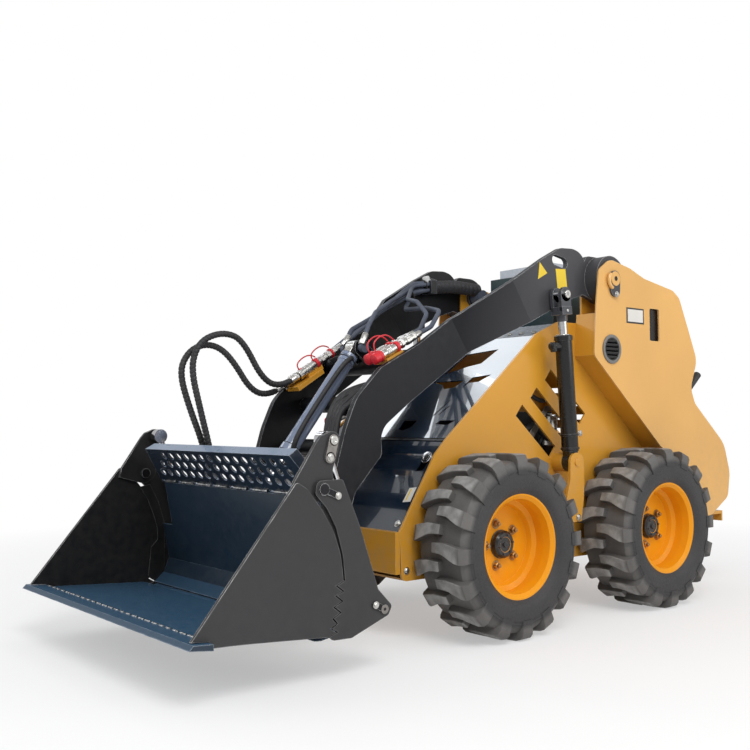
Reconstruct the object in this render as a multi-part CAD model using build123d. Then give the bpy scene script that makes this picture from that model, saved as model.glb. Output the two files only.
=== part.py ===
from build123d import *
import math
import os

# Compact stand-on wheeled skid steer loader with a four-in-one bucket.
# Millimetres, +Z up, front towards -Y, the machine's left side towards +X.
# Everything is modelled with Y measured from the front axle and Z from the ground, and write()
# moves each piece by frame_shift, so that the origin lies on the ground below the middle of the
# machine. Outlines in the YZ plane are tables of (y, z, corner radius).

# ---- driving dimensions -------------------------------------------------------------------
wheelbase = 800.0
frame_shift = -122.0
track_outer_x = 550.0

# wheels
tyre_radius = 292.0
tyre_width = 216.0
tyre_carcass_radius = 268.0
tyre_side_radius = 228.0
tyre_shoulder = 22.0
lug_count = 16
lug_chamfer = 26.0
rim_radius = 168.0
rim_flange = 9.0
rim_inset = 27.0
rim_wall = 7.0
rim_seat_radius = 152.0
rim_well_radius = 124.0
disc_depth = 108.0
disc_thickness = 10.0
axle_radius = 22.0
axle_length = 26.0
hub_radius = 44.0
hub_length = 34.0
flange_radius = 86.0
flange_thickness = 14.0
lug_nut_circle = 139.7
lug_nut_count = 5
lug_nut_radius = 11.0
drive_radius = 62.0

# frame
frame_x = 323.0
frame_plate = 8.0
frame_floor_z = 190.0
pan_thickness = 6.0
pan_rear_y = 1106.0
beam_front_y = -341.0
beam_rear_y = -323.3
beam_bottom_z = 214.0
beam_top_z = 344.0
hood_thickness = 4.0
hood_inset = 5.0
cheek_x = 418.0
cheek_plate = 6.0
wheel_gap = 30.0
shelf_z = 1078.0
vent_centre = (630.0, 949.0)
vent_radius = 44.0
vent_ring = 9.0

# boom
boom_pivot = (649.0, 1211.0)
boom_drum_radius = 87.0
arm_plate = 20.0
arm_rear_x = 352.0
arm_front_x = 242.0
joggle_front = 565.0
joggle_rear = 796.0
joggle_lean = 56.0
pivot_pin_radius = 25.0
tilt_pin = (-549.0, 258.0)
tilt_boss_radius = 42.0
tilt_pin_radius = 16.0

# lift cylinders
lift_x = 387.0
lift_base = (427.0, 539.0)
lift_head = (382.0, 1133.0)
# tilt cylinder
tilt_base = (-245.0, 938.0)
tilt_head = (-643.0, 437.5)
# clam cylinders
clam_x = 485.0
clam_base = (-565.5, 171.0)
clam_head = (-733.0, 637.5)
clam_keeper_bolt = (-745.0, 592.0)
cylinder_pin_radius = 12.5

# bucket
bucket_side_x = 535.0
bucket_plate = 10.0
jaw_gap = 6.0
clam_pivot = (-770.5, 509.0)
ear_plate = 11.0
wall_top = (-726.0, 479.0)
wall_bottom = (-671.0, 207.0)
wall_heel = (-693.0, 160.0)
wall_edge = (-728.0, 130.0)
guard_top = (-811.0, 596.0)
guard_flange = (-780.0, 614.0)
guard_half_top = 410.0
guard_half_bottom = 472.0
wall_half_top = 455.0
guard_plate = 6.0
guard_hole_radius = 13.5
lip_tip = (-1176.0, 152.0)
lip_half_width = 556.0
lip_length = 66.0
lip_thickness = 16.0

# hydraulics
hose_radius = 8.0
hose_bend_most = 300.0
hose_outer_x = -200.0
hose_inner_x = -168.0
line_radius = 8.0
line_bend = 42.0
sleeve_radius = 24.0
coupler_radius = 15.0

# clearances
slide_gap = 0.3
pin_gap = 0.25
side_gap = 1.5
seat_gap = 0.3

os.makedirs("parts", exist_ok=True)


# ---- helpers ------------------------------------------------------------------------------
def outline(table):
    """A closed face in the YZ plane from rows of (y, z, corner radius)."""
    points = [(y, z) for y, z, corner in table]
    corners = [corner for y, z, corner in table]
    if not any(corners):
        return make_face(Plane.YZ * Polyline(*points, close=True))
    return make_face(Plane.YZ * FilletPolyline(*points, radius=corners, close=True))


def slab(face, x0, x1):
    """The YZ face as a plate from x0 to x1."""
    return Pos(x0, 0, 0) * extrude(face, amount=x1 - x0, dir=(1, 0, 0))


def plate(table, x0, x1):
    return slab(outline(table), x0, x1)


def disc(centre, radius, x0, x1):
    """A round bar along X, centred on (y, z)."""
    bar = Cylinder(radius, x1 - x0, rotation=(0, 90, 0))
    return Pos((x0 + x1) / 2, centre[0], centre[1]) * bar


def ring(centre, outer, inner, x0, x1):
    return disc(centre, outer, x0, x1) - disc(centre, inner, x0, x1)


def box(x, y, z):
    """A block from three (low, high) pairs."""
    size = [high - low for low, high in (x, y, z)]
    middle = [(high + low) / 2 for low, high in (x, y, z)]
    return Pos(*middle) * Box(*size)


def strip(path, thickness, x0, x1):
    """A bent sheet that follows a YZ path, its thickness to the left of the way along it."""
    left = []
    for i, point in enumerate(path):
        turns = []
        for a, b in ((i - 1, i), (i, i + 1)):
            if a >= 0 and b < len(path):
                dy, dz = path[b][0] - path[a][0], path[b][1] - path[a][1]
                length = math.hypot(dy, dz)
                turns.append((-dz / length, dy / length))
        ny, nz = turns[0] if len(turns) == 1 else [(p + q) / 2 for p, q in zip(*turns)]
        scale = thickness / (ny * turns[0][0] + nz * turns[0][1])
        left.append((point[0] + ny * scale, point[1] + nz * scale))
    face = make_face(Plane.YZ * Polyline(*path, *reversed(left), close=True))
    return slab(face, x0, x1)


def mirrored(part):
    return mirror(part, about=Plane.YZ)


def both(part):
    """The piece and its mirror image in one node, where the two don't touch."""
    return Compound(children=[*part.solids(), *mirrored(part).solids()])


def toward(start, end, distance):
    """The YZ point at a distance from start on the way to end."""
    dy, dz = end[0] - start[0], end[1] - start[1]
    share = distance / math.hypot(dy, dz)
    return (start[0] + dy * share, start[1] + dz * share)


def span(start, end):
    return math.hypot(end[0] - start[0], end[1] - start[1])


def bar_along(start, end, near, far, radius, x):
    """A round bar on the line from start to end, between two distances from start."""
    a, b = toward(start, end, near), toward(start, end, far)
    plane = Plane(origin=(x, *a), z_dir=(0, b[0] - a[0], b[1] - a[1]))
    return plane * Cylinder(radius, far - near, align=(Align.CENTER, Align.CENTER, Align.MIN))


def block_along(start, end, near, far, half_width, x0, x1):
    """A flat bar on the line from start to end, from x0 to x1."""
    a, b = toward(start, end, near), toward(start, end, far)
    length = span(a, b)
    ny, nz = -(b[1] - a[1]) / length * half_width, (b[0] - a[0]) / length * half_width
    corners = [(a[0] + ny, a[1] + nz), (b[0] + ny, b[1] + nz)]
    corners += [(b[0] - ny, b[1] - nz), (a[0] - ny, a[1] - nz)]
    return slab(make_face(Plane.YZ * Polyline(*corners, close=True)), x0, x1)


def tube(points, radius, bends):
    """A round tube through 3-D points, each corner rounded by its radius."""
    path = FilletPolyline(*points, radius=bends)
    return sweep(Plane(origin=path @ 0, z_dir=path % 0) * Circle(radius), path=path)


def corner_radii(points):
    """Each inner corner's radius: 0.45 of its shorter run over the tangent of half its turn."""
    radii = []
    for a, b, c in zip(points, points[1:], points[2:]):
        run_in, run_out = Vector(*b) - Vector(*a), Vector(*c) - Vector(*b)
        turn = math.radians(run_in.get_angle(run_out))
        radii.append(0.45 * min(run_in.length, run_out.length) / math.tan(turn / 2))
    return radii


def write(name, part):
    solids = part.solids()
    shape = solids[0] if len(solids) == 1 else Compound(children=list(solids))
    shape = Pos(0, frame_shift, 0) * shape
    shape.label = name
    export_step(shape, f"parts/{name}.step")


# ---- wheels -------------------------------------------------------------------------------
axle_z = tyre_radius


def turned(profile):
    """A revolved solid about the X axis from (x, radius) points."""
    face = make_face(Plane.XY * Polyline(*profile, close=True))
    return revolve(face, Axis.X, 360)


def faceted(sections, sides):
    """A solid of flat facets about the X axis, through polygons given by (x, distance to a flat)."""
    rings = []
    for x, flat in sections:
        polygon = RegularPolygon(flat, sides, major_radius=False, rotation=180 / sides)
        rings.append(Plane(origin=(x, 0, 0), z_dir=(1, 0, 0)) * polygon)
    return loft(rings, ruled=True)


def tyre():
    """A carcass with kinked bars that reach in from both shoulders by turns, one to a facet."""
    half = tyre_width / 2
    bead = half - rim_inset
    sides = 2 * lug_count
    crown = half - tyre_shoulder
    bore = rim_seat_radius + seat_gap
    body = faceted([(-bead, bore), (-half, tyre_side_radius), (-crown, tyre_carcass_radius),
                    (crown, tyre_carcass_radius), (half, tyre_side_radius), (bead, bore)], sides)
    body -= faceted([(-bead, bore), (bead, bore)], sides)
    # (x, height) of a bar's section and (x, way round) of its plan
    section = [(-12, tyre_carcass_radius - 30), (-12, tyre_radius), (half - lug_chamfer, tyre_radius),
               (half, tyre_radius - lug_chamfer * 0.8), (half, tyre_side_radius),
               (crown, tyre_carcass_radius - 30)]
    plan = [(-12, -25), (half, -8), (half, 25), (42, -2), (-12, -2)]
    bar = extrude(make_face(Plane.XZ * Polyline(*section, close=True)), amount=30, both=True)
    bar &= extrude(make_face(Plane.XY * Polyline(*plan, close=True)), amount=tyre_radius + 10)
    bars = []
    for i in range(lug_count):
        bars.append(Rot(360 / sides * 2 * i, 0, 0) * bar)
        bars.append(Rot(360 / sides * (2 * i + 1), 0, 0) * mirrored(bar))
    return body.fuse(*bars)


def rim():
    """A stepped barrel with a lip at each end and a deep disc."""
    half = tyre_width / 2
    bead = half - rim_inset
    seat, well = rim_seat_radius, rim_well_radius
    edge = bead + rim_flange
    lip = bead + seat_gap + (rim_radius - seat) * rim_inset / (tyre_side_radius - seat)
    face = half - disc_depth
    # x from the tyre's middle, radius
    barrel = turned([
        (edge, rim_radius), (lip, rim_radius), (bead + seat_gap, seat),
        (-bead - seat_gap, seat), (-lip, rim_radius), (-edge, rim_radius),
        (-edge, rim_radius - rim_wall), (-bead, seat - rim_wall), (face - disc_thickness, seat - rim_wall),
        (face + 8, seat - rim_wall), (bead - 26, seat - rim_wall), (bead, seat - rim_wall + 4),
        (edge, rim_radius - rim_wall),
    ])
    step = turned([(face + 26, seat - rim_wall + 1), (face + 18, well + 6), (face, well),
                   (face, hub_radius + 1), (face - disc_thickness, hub_radius + 1),
                   (face - disc_thickness, well + 8), (face + 8, seat - rim_wall + 1)])
    return barrel + step


def hub():
    """Wheel flange, hub end and lug nuts, from the rim's disc outwards."""
    half = tyre_width / 2
    face = half - disc_depth
    back = face - disc_thickness - seat_gap
    end = back + hub_length
    flange = turned([(back - flange_thickness, 0), (back - flange_thickness, flange_radius),
                     (back, flange_radius), (back, hub_radius - 2), (end - 6, hub_radius - 2),
                     (end, hub_radius - 10), (end, 24), (end - 8, 22), (end - 8, 0)])
    bore_end = back - flange_thickness + axle_length
    flange -= turned([(back - flange_thickness - 1, 0), (back - flange_thickness - 1, axle_radius + pin_gap),
                      (bore_end, axle_radius + pin_gap), (bore_end, 0)])
    nut = Plane(origin=(face + seat_gap, 0, lug_nut_circle / 2), z_dir=(1, 0, 0)) * extrude(
        RegularPolygon(lug_nut_radius, 6), amount=12)
    nuts = [Rot(360 / lug_nut_count * (i + 0.25), 0, 0) * nut for i in range(lug_nut_count)]
    return Compound(children=[*flange.solids(), *[s for n in nuts for s in n.solids()]])


drive_end_x = track_outer_x - disc_depth - disc_thickness - seat_gap - flange_thickness - 1.0


def drive_motor():
    """Hydraulic wheel motor bolted to the frame's side, which carries the hub."""
    flange = disc((0, axle_z), drive_radius + 22, frame_x, frame_x + 12)
    motor = disc((0, axle_z), drive_radius, frame_x + 12, drive_end_x)
    axle = disc((0, axle_z), axle_radius, drive_end_x - 1, drive_end_x + axle_length - 3)
    return flange + motor + axle


corners = [("front_left", 0.0, 1), ("front_right", 0.0, -1),
           ("rear_left", wheelbase, 1), ("rear_right", wheelbase, -1)]
wheel_x = track_outer_x - tyre_width / 2
tyre_solid, rim_solid, hub_solid, motor_solid = tyre(), rim(), hub(), drive_motor()
wheel_solid = Compound(children=[*rim_solid.solids(), *hub_solid.solids()])
for place, y, side in corners:
    for name, part in (("tyre", tyre_solid), ("rim", wheel_solid)):
        placed = Pos(wheel_x, y, axle_z) * part
        write(f"{name}_{place}", placed if side > 0 else mirrored(placed))
write("wheel_motors", Compound(children=[s for y in (0, wheelbase)
                                         for s in both(Pos(0, y, 0) * motor_solid).solids()]))

# ---- frame --------------------------------------------------------------------------------
hood_line = [(-323, 343), (-170, 582), (-118, 632), (321, 995), (440, 1045)]
frame_outline = [
    (-316, frame_floor_z, 24), (-323, 343, 8), (-170, 582, 40), (-118, 632, 20), (321, 995, 12),
    (440, 1045, 20), (580, 1048, 4), (580, 1231, 40), (622, 1268, 30), (746, 1246, 30),
    (834, 1218, 60), (1022, 1185, 50), (1063, 1165, 30), (pan_rear_y + 18, 1040, 120),
    (pan_rear_y + 12, 902, 60), (pan_rear_y + 12, frame_floor_z, 24),
]
# ends of each slot's middle line
vent_slots = [((228, 724), (405, 574)), ((305, 786), (492, 627)), ((383, 852), (576, 692))]
vent_slot_half = 26.0
frame_side = plate(frame_outline, frame_x - frame_plate, frame_x)
for start, end in vent_slots:
    frame_side -= block_along(start, end, 0, span(start, end), vent_slot_half,
                              frame_x - frame_plate - 1, frame_x + 1)
frame_side -= disc(boom_pivot, pivot_pin_radius + seat_gap, frame_x - frame_plate - 1, frame_x + 1)
write("frame_side_left", frame_side)
write("frame_side_right", mirrored(frame_side))

inner_x = frame_x - frame_plate - seat_gap
write("belly_pan", box((-inner_x, inner_x), (beam_rear_y + 20, pan_rear_y),
                       (frame_floor_z + 2, frame_floor_z + 2 + pan_thickness)))
write("front_beam", box((-frame_x, frame_x), (beam_front_y, beam_rear_y),
                        (beam_bottom_z, beam_top_z)))


def shifted_in(path, gap):
    """The hood's path, a gap inside the side plates' edge."""
    moved = []
    for i, (y, z) in enumerate(path):
        a = path[max(i - 1, 0)]
        b = path[min(i + 1, len(path) - 1)]
        length = span(a, b)
        moved.append((y + (b[1] - a[1]) / length * gap, z - (b[0] - a[0]) / length * gap))
    return moved


hood_path = shifted_in(hood_line, hood_inset + hood_thickness)
hood_lower = strip(hood_path[:3], hood_thickness, -inner_x, inner_x)
hood_upper = strip([toward(hood_path[2], hood_path[3], 4), hood_path[3]], hood_thickness,
                   -inner_x, inner_x)


def hood_slot(corners, lower, upper):
    """A cutter through the hood between two points of its line, from (x, distance up the slope)."""
    across = (0, upper[0] - lower[0], upper[1] - lower[1])
    plane = Plane(origin=(0, *lower), x_dir=(1, 0, 0), z_dir=Vector(1, 0, 0).cross(Vector(*across)))
    return plane * extrude(make_face(Polyline(*corners, close=True)), amount=30, both=True)


# air slots shaped like strokes, as (x, distance up the slope)
upper_slots = [
    [(18, 362), (112, 402), (164, 416), (191, 499), (40, 480)],
    [(171, 253), (188, 302), (234, 306), (267, 346), (183, 334)],
    [(-10, 316), (59, 297), (86, 270), (135, 280), (150, 319)],
    [(151, 121), (158, 122), (174, 211), (166, 200)],
    [(173, 125), (180, 126), (198, 177), (190, 174)],
    [(35, 47), (64, 41), (91, 59), (95, 97), (26, 97)],
    [(199, 75), (262, 72), (284, 96), (211, 96)],
]
lower_slots = [[(258, 218), (292, 224), (309, 277), (270, 271)]]
for corners in upper_slots:
    hood_upper -= hood_slot(corners, hood_line[2], hood_line[3])
for corners in lower_slots:
    hood_lower -= hood_slot(corners, hood_line[0], hood_line[1])
write("hood_lower", hood_lower)
write("hood_upper", hood_upper)
deck_z = 1038.0
deck = strip([toward(hood_path[3], hood_path[4], 4), hood_path[4], (870, deck_z)], hood_thickness,
             -inner_x, inner_x)
write("top_deck", deck)

# ---- cheeks -------------------------------------------------------------------------------
arch_radius = tyre_radius + wheel_gap
cheek_outline = [
    (563, 1238, 30), (628, 1283, 60), (750, 1260, 60), (840, 1229, 80), (1030, 1199, 60),
    (1074, 1172, 40), (1137, 1043, 120), (1192, 928, 70), (1144, 816, 60), (1173, 753, 60),
    (1382, 589, 120), (1423, 467, 90), (1405, 368, 40), (1291, 306, 60), (1200, 271, 20),
    (1069, 271, 0), (856, 518, 0), (930, 587, 0), (530, 922, 30), (544, 1103, 60),
]
cheek = plate(cheek_outline, cheek_x - cheek_plate, cheek_x)
cheek -= disc((wheelbase, axle_z), arch_radius, cheek_x - cheek_plate - 1, cheek_x + 1)
cheek -= disc(vent_centre, vent_radius, cheek_x - cheek_plate - 1, cheek_x + 1)
cheek -= plate([(871, 992, 8), (935, 992, 8), (935, 1117, 8), (871, 1117, 8)],
               cheek_x - cheek_plate - 1, cheek_x + 1)
cheek -= disc(boom_pivot, pivot_pin_radius + seat_gap, cheek_x - cheek_plate - 1, cheek_x + 1)
cheek_box = strip([(942, 582), (534, 924), (549, shelf_z), (790, shelf_z)], -cheek_plate,
                  frame_x + seat_gap, cheek_x - cheek_plate - seat_gap)
write("cheek_left", cheek)
write("cheek_right", mirrored(cheek))
write("cheek_boxes", both(cheek_box))
louvres = ring(vent_centre, vent_radius + vent_ring, vent_radius - 6, cheek_x + seat_gap, cheek_x + 4)
for step in (-2, -1, 0, 1, 2):
    blade = Pos(cheek_x + 2.2, vent_centre[0], vent_centre[1] + step * 15)
    blade *= Rot(0, 35, 0) * Box(1.6, 2 * vent_radius - 8, 12)
    louvres += blade & disc(vent_centre, vent_radius - 3, cheek_x - 3, cheek_x + 8)
write("cheek_vents", both(louvres))

# rear panel, engine and operator station
rear_top_z = 1020.0
rear_slot_pitch = 60.0
rear_panel = box((-inner_x, inner_x), (pan_rear_y - pan_thickness, pan_rear_y),
                 (frame_floor_z + pan_thickness * 2, rear_top_z))
for row in range(7):
    low = frame_floor_z + 260 + row * rear_slot_pitch
    for middle in (-inner_x / 2, inner_x / 2):
        rear_panel -= box((middle - 110, middle + 110), (pan_rear_y - 20, pan_rear_y + 20), (low, low + 22))
write("rear_panel", rear_panel)
engine_half_x = 190.0
engine_y = (60.0, 560.0)
engine_top_z = 720.0
write("engine_block", box((-engine_half_x, engine_half_x), engine_y,
                          (frame_floor_z + 2 + pan_thickness + seat_gap, engine_top_z)))
console_half_x = 165.0
console_y = (605.0, 930.0)
console_top_z = 1268.0
panel_height = 38.0
write("console", box((-console_half_x, console_half_x), console_y,
                     (deck_z + hood_thickness + seat_gap, console_top_z)))
write("instrument_panel", box((25 - console_half_x, console_half_x - 25),
                              (console_y[0] + 30, console_y[0] + 130),
                              (console_top_z + seat_gap, console_top_z + panel_height)))
platform_z = 300.0
between_cheeks = cheek_x - cheek_plate - seat_gap
platform = box((-between_cheeks, between_cheeks), (pan_rear_y + 29, 1370), (platform_z, platform_z + 12))
platform += box((-between_cheeks, between_cheeks), (1362, 1370), (platform_z - 30, platform_z + 12))
write("platform", platform)
grip_foot, grip_tip = (1128.0, 790.0), (1228.0, 872.0)
grip = bar_along(grip_foot, grip_tip, 0, span(grip_foot, grip_tip), 15, between_cheeks - 15)
write("hand_grips", both(grip))

# ---- lift cylinder mounts -----------------------------------------------------------------
eye_half = 16.0
lift_eye_radius = 32.0
mount_inner = lift_x - eye_half - side_gap
mount_outer = lift_x + eye_half + side_gap
boss = disc(lift_base, 34, frame_x + seat_gap, mount_inner)
# (y, z, corner radius) of the outer ear, which runs down between the tyres
ear_low_z = 332.0
ear = plate([(393, 573, 32), (461, 573, 32), (466, 470, 60), (462, 410, 40), (447, ear_low_z, 0),
             (403, ear_low_z, 0), (368, 410, 40), (390, 480, 60)], mount_outer, mount_outer + 10)
foot = box((frame_x + seat_gap, mount_outer + 1), (403, 447), (ear_low_z, ear_low_z + 12))
pin = disc(lift_base, cylinder_pin_radius, frame_x + seat_gap, mount_outer + 14)
write("lift_mounts", both(boss + ear + foot + pin))

# ---- boom ---------------------------------------------------------------------------------
lean = math.radians(joggle_lean)
arm_outline = [
    (550, 1150, 20), (588, 1295, 70), (497, 1316, 90), (426, 1311, 60), (334, 1265, 60),
    (174, 1172, 0), (5, 1048, 0), (-163, 942, 0), (-328, 858, 0), (-427, 760, 120),
    (-470, 666, 200), (tilt_pin[0] - 40, tilt_pin[1] + 12, 0),
    (tilt_pin[0] + 40, tilt_pin[1] - 12, 0), (-434, 468, 60), (-326, 581, 26), (-331, 660, 70),
    (-216, 742, 60), (71, 927, 0), (261, 1031, 60), (467, 1124, 60),
]
lifting_hole = ((400.0, 1265.0), (446.0, 1257.0))
lifting_hole_radius = 19.0


def along(s, t, x):
    """A point at s across the bends and t along them, in the frame's axes."""
    n = (math.sin(lean), math.cos(lean))
    d = (math.cos(lean), -math.sin(lean))
    return (x, s * n[0] + t * d[0], s * n[1] + t * d[1])


def arm():
    """One thick plate with two bends that bring its front end inboard."""
    far = 1800.0
    line = [(-far, arm_front_x), (joggle_front, arm_front_x), (joggle_rear, arm_rear_x),
            (far, arm_rear_x)]
    back = [(s, x - arm_plate) for s, x in line]
    points = [along(s, -far, x) for s, x in line + back[::-1]]
    prism = extrude(make_face(Polyline(*points, close=True)), amount=2 * far,
                    dir=along(0, 1, 0))
    profile = plate(arm_outline, arm_front_x - arm_plate - 20, arm_rear_x + 20)
    profile += disc(tilt_pin, tilt_boss_radius, arm_front_x - arm_plate - 20, arm_rear_x + 20)
    plate_solid = profile & prism
    hole = block_along(*lifting_hole, 0, span(*lifting_hole), lifting_hole_radius, frame_x, cheek_x)
    for end in lifting_hole:
        hole += disc(end, lifting_hole_radius, frame_x, cheek_x)
    plate_solid -= hole
    drum = disc(boom_pivot, boom_drum_radius, arm_rear_x - arm_plate, cheek_x - cheek_plate - 5)
    link = plate([(530, 1156, 0), (649, 1124, 0), (649, 1298, 0), (570, 1298, 30)],
                 arm_rear_x - arm_plate, arm_rear_x)
    part = plate_solid + drum + link
    part -= disc(boom_pivot, pivot_pin_radius + pin_gap, frame_x, cheek_x)
    part -= disc(tilt_pin, tilt_pin_radius + pin_gap, 200, 300)
    return part


left_arm = arm()
write("arm_left", left_arm)
write("arm_right", mirrored(left_arm))
pivot_flange_x = frame_x - frame_plate - 14
pivot = disc(boom_pivot, pivot_pin_radius, frame_x - frame_plate - 10, cheek_x + 6)
pivot += disc(boom_pivot, pivot_pin_radius + 12, pivot_flange_x, frame_x - frame_plate - seat_gap)
pivot += plate([(boom_pivot[0] - 26, boom_pivot[1] - 66, 24), (boom_pivot[0] + 26, boom_pivot[1] - 66, 24),
                (boom_pivot[0] + 30, boom_pivot[1] + 30, 28), (boom_pivot[0] - 30, boom_pivot[1] + 30, 28)],
               cheek_x + seat_gap, cheek_x + 9)
write("boom_pivots", both(pivot))

cross_x = arm_front_x - arm_plate - seat_gap
tube_upper = (-175.0, 887.0)
tube_middle = (-291.0, 744.5)
tube_lower = (-367.0, 599.0)
cross_radius, cross_small_radius = 38.0, 28.0
cross_upper = disc(tube_upper, cross_radius, -cross_x, cross_x)
tilt_ear_gap = 22.0
tilt_ear = 12.0
ears = []
for side in (1, -1):
    x0 = tilt_ear_gap if side > 0 else -tilt_ear_gap - tilt_ear
    ears.append(plate([(tilt_base[0] - 24, tilt_base[1] - 16, 22), (tilt_base[0] - 24, tilt_base[1] + 24, 22),
                       (tilt_base[0] + 10, tilt_base[1] + 28, 20), (tube_upper[0] + 30, tube_upper[1] + 10, 0),
                       (tube_upper[0], tube_upper[1] - 30, 0)], x0, x0 + tilt_ear))
for item in ears:
    cross_upper += item
tilt_pin_out = tilt_ear_gap + tilt_ear + 8
cross_upper += disc(tilt_base, cylinder_pin_radius, -tilt_pin_out, tilt_pin_out)
write("boom_cross_upper", cross_upper)
write("boom_cross_middle", disc(tube_middle, cross_small_radius, -cross_x, cross_x))
write("boom_cross_lower", disc(tube_lower, cross_small_radius, -cross_x, cross_x))


# ---- couplers, lines and hoses ------------------------------------------------------------
# (x, lower end, upper end) of each quick coupler
right_couplers = [(hose_outer_x, (-400, 812), (-248, 905)), (hose_inner_x, (-362, 846), (-212, 938))]
left_couplers = [(200, (-300, 897), (-160, 965)), (168, (-300, 897), (-160, 965))]


def coupler(x, low, high):
    """Body, sleeve and nipple of a coupler from its low end to its high end."""
    length = span(low, high)
    part = bar_along(low, high, 0, length * 0.45, coupler_radius, x)
    part += bar_along(low, high, length * 0.45 - 1, length * 0.8, coupler_radius - 3, x)
    part += bar_along(low, high, length * 0.8 - 1, length, coupler_radius - 1, x)
    return part


cap_end, cap_x = (-431.0, 683.0), 100.0
cap = bar_along(tube_middle, cap_end, cross_small_radius + seat_gap, span(tube_middle, cap_end),
                coupler_radius, cap_x)
write("couplers_left", Compound(children=[c.solid() for c in (*[coupler(*c) for c in left_couplers], cap)]))
write("couplers_right", Compound(children=[coupler(*c).solid() for c in right_couplers]))

bracket_drop = coupler_radius + seat_gap
bracket_depth = 16.0


def coupler_bracket(couplers, near, far, inner, outer):
    """A flat bar below the couplers, out to the arm's inner face."""
    x0, low, high = couplers[0]
    length = span(low, high)
    ny, nz = -(high[1] - low[1]) / length, (high[0] - low[0]) / length
    rise = -bracket_drop - bracket_depth / 2
    a = (low[0] + ny * rise, low[1] + nz * rise)
    b = (high[0] + ny * rise, high[1] + nz * rise)
    return block_along(a, b, near, far, bracket_depth / 2, inner, outer)


arm_inner_x = cross_x
bracket_right = coupler_bracket(right_couplers, 14, 140, -arm_inner_x, hose_inner_x + 20)
# the inner coupler stands higher than the outer one, on a saddle
saddle_at, saddle_high = right_couplers[1][1:]
saddle_length, saddle_drop = span(saddle_at, saddle_high), 20.0
saddle = block_along(saddle_at, saddle_high, 30, 100, 8, hose_inner_x - 8, hose_inner_x + 12)
saddle = Pos(0, saddle_drop * (saddle_high[1] - saddle_at[1]) / saddle_length,
             -saddle_drop * (saddle_high[0] - saddle_at[0]) / saddle_length) * saddle
bracket_right += saddle - bar_along(saddle_at, saddle_high, 0, saddle_length, bracket_drop, hose_inner_x)
bracket_left = coupler_bracket(left_couplers, 8, 84, 150, arm_inner_x)
# the clamp on the far arm that gathers the lines, their sleeve and the swivel at the boom's pivot
clamp_y, clamp_z, clamp_inner_x = (370.0, 402.0), (1208.0, 1262.0), -274.0
line_clamp = box((-arm_rear_x + arm_plate + seat_gap, clamp_inner_x), clamp_y, clamp_z)
sleeve_path = [(-303, clamp_y[1] - 1, 1238), (-292, 520, 1248), (-274, 640, 1240)]
swivel_radius, swivel_inner_x, banjo_radius, banjo_out_x = 30.0, -250.0, 18.0, 58.0
swivel = disc(boom_pivot, swivel_radius, seat_gap - pivot_flange_x, swivel_inner_x)
write("coupler_brackets", Compound(children=[bracket_right.solid(), bracket_left.solid()]))

# routes of the lines on the boom, from the front to the clamp
clamp_in = clamp_y[0] + 1
line_routes = [
    [(-50, -252, 950), (-58, -214, 1008), (-92, -110, 1052), (-150, 30, 1112), (-246, 180, 1160),
     (-290, 290, 1206), (-290, clamp_in, 1222)],
    [(50, -252, 950), (40, -214, 1018), (-50, -110, 1076), (-128, 30, 1134), (-232, 180, 1184),
     (-290, 290, 1232), (-290, clamp_in, 1246)],
    [(200, -159.3, 965.3), (200, -72, 1007), (176, -8, 1068), (60, 34, 1092), (-80, 60, 1100),
     (-226, 190, 1136), (-312, 300, 1200), (-312, clamp_in, 1222)],
    [(168, -159.3, 965.3), (166, -92, 998), (140, -36, 1058), (50, 0, 1112), (-60, 52, 1136),
     (-214, 200, 1190), (-312, 300, 1236), (-312, clamp_in, 1246)],
    [(-200, -247.2, 905.5), (-204, -150, 972), (-210, -20, 1062), (-268, 200, 1176),
     (-306, 300, 1214), (-306, clamp_in, 1234)],
    [(-168, -211.2, 938.5), (-170, -120, 996), (-180, 0, 1082), (-250, 200, 1200),
     (-300, 300, 1244), (-300, clamp_in, 1252)],
]
loom = line_clamp + tube(sleeve_path, sleeve_radius, [120]) + swivel
for side in (1, -1):
    banjo = disc(tilt_base, banjo_radius, tilt_pin_out + seat_gap, banjo_out_x)
    loom += banjo if side > 0 else mirrored(banjo)
for route in line_routes:
    loom += tube(route, line_radius, [min(line_bend, r) for r in corner_radii(route)])
write("hydraulic_lines", loom)

wall_length = span(wall_top, wall_bottom)


def behind_wall(down, back):
    """The YZ point at a distance down the wall's front face and a distance behind it."""
    dy = (wall_bottom[0] - wall_top[0]) / wall_length
    dz = (wall_bottom[1] - wall_top[1]) / wall_length
    return (wall_top[0] + dy * down - dz * back, wall_top[1] + dz * down + dy * back)


quick_plate = 10.0
quick_gap = bucket_plate + seat_gap
manifold_down, manifold_back, manifold_depth = 45.0, quick_gap + quick_plate, 38.0
hose_start = behind_wall(manifold_down - seat_gap, manifold_back + manifold_depth / 2)

# the two free hoses from the bucket's manifold to the couplers: x and (y, z) after the start
hose_routes = [
    ("hose_outer", hose_outer_x,
     [(-708.3, 589.7), (-772, 738), (-806, 846), (-781.3, 907.2), (-729.3, 941), (-667.3, 938.8),
      (-609.8, 895.5), (-533.5, 787.4), (-453.9, 779.1), (-401, 811.5)]),
    ("hose_inner", hose_inner_x,
     [(-706, 578), (-750, 735), (-780, 850), (-768, 918), (-728, 962), (-658, 982), (-590, 962),
      (-507, 822.5), (-424.3, 807.9), (-362.9, 845.5)]),
]
for name, x, rest in hose_routes:
    route = [(x, y, z) for y, z in [hose_start] + rest]
    radii = [min(hose_bend_most, r) for r in corner_radii(route)]
    print(name, "radii", [round(r) for r in radii])
    write(name, tube(route, hose_radius, radii))

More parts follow.
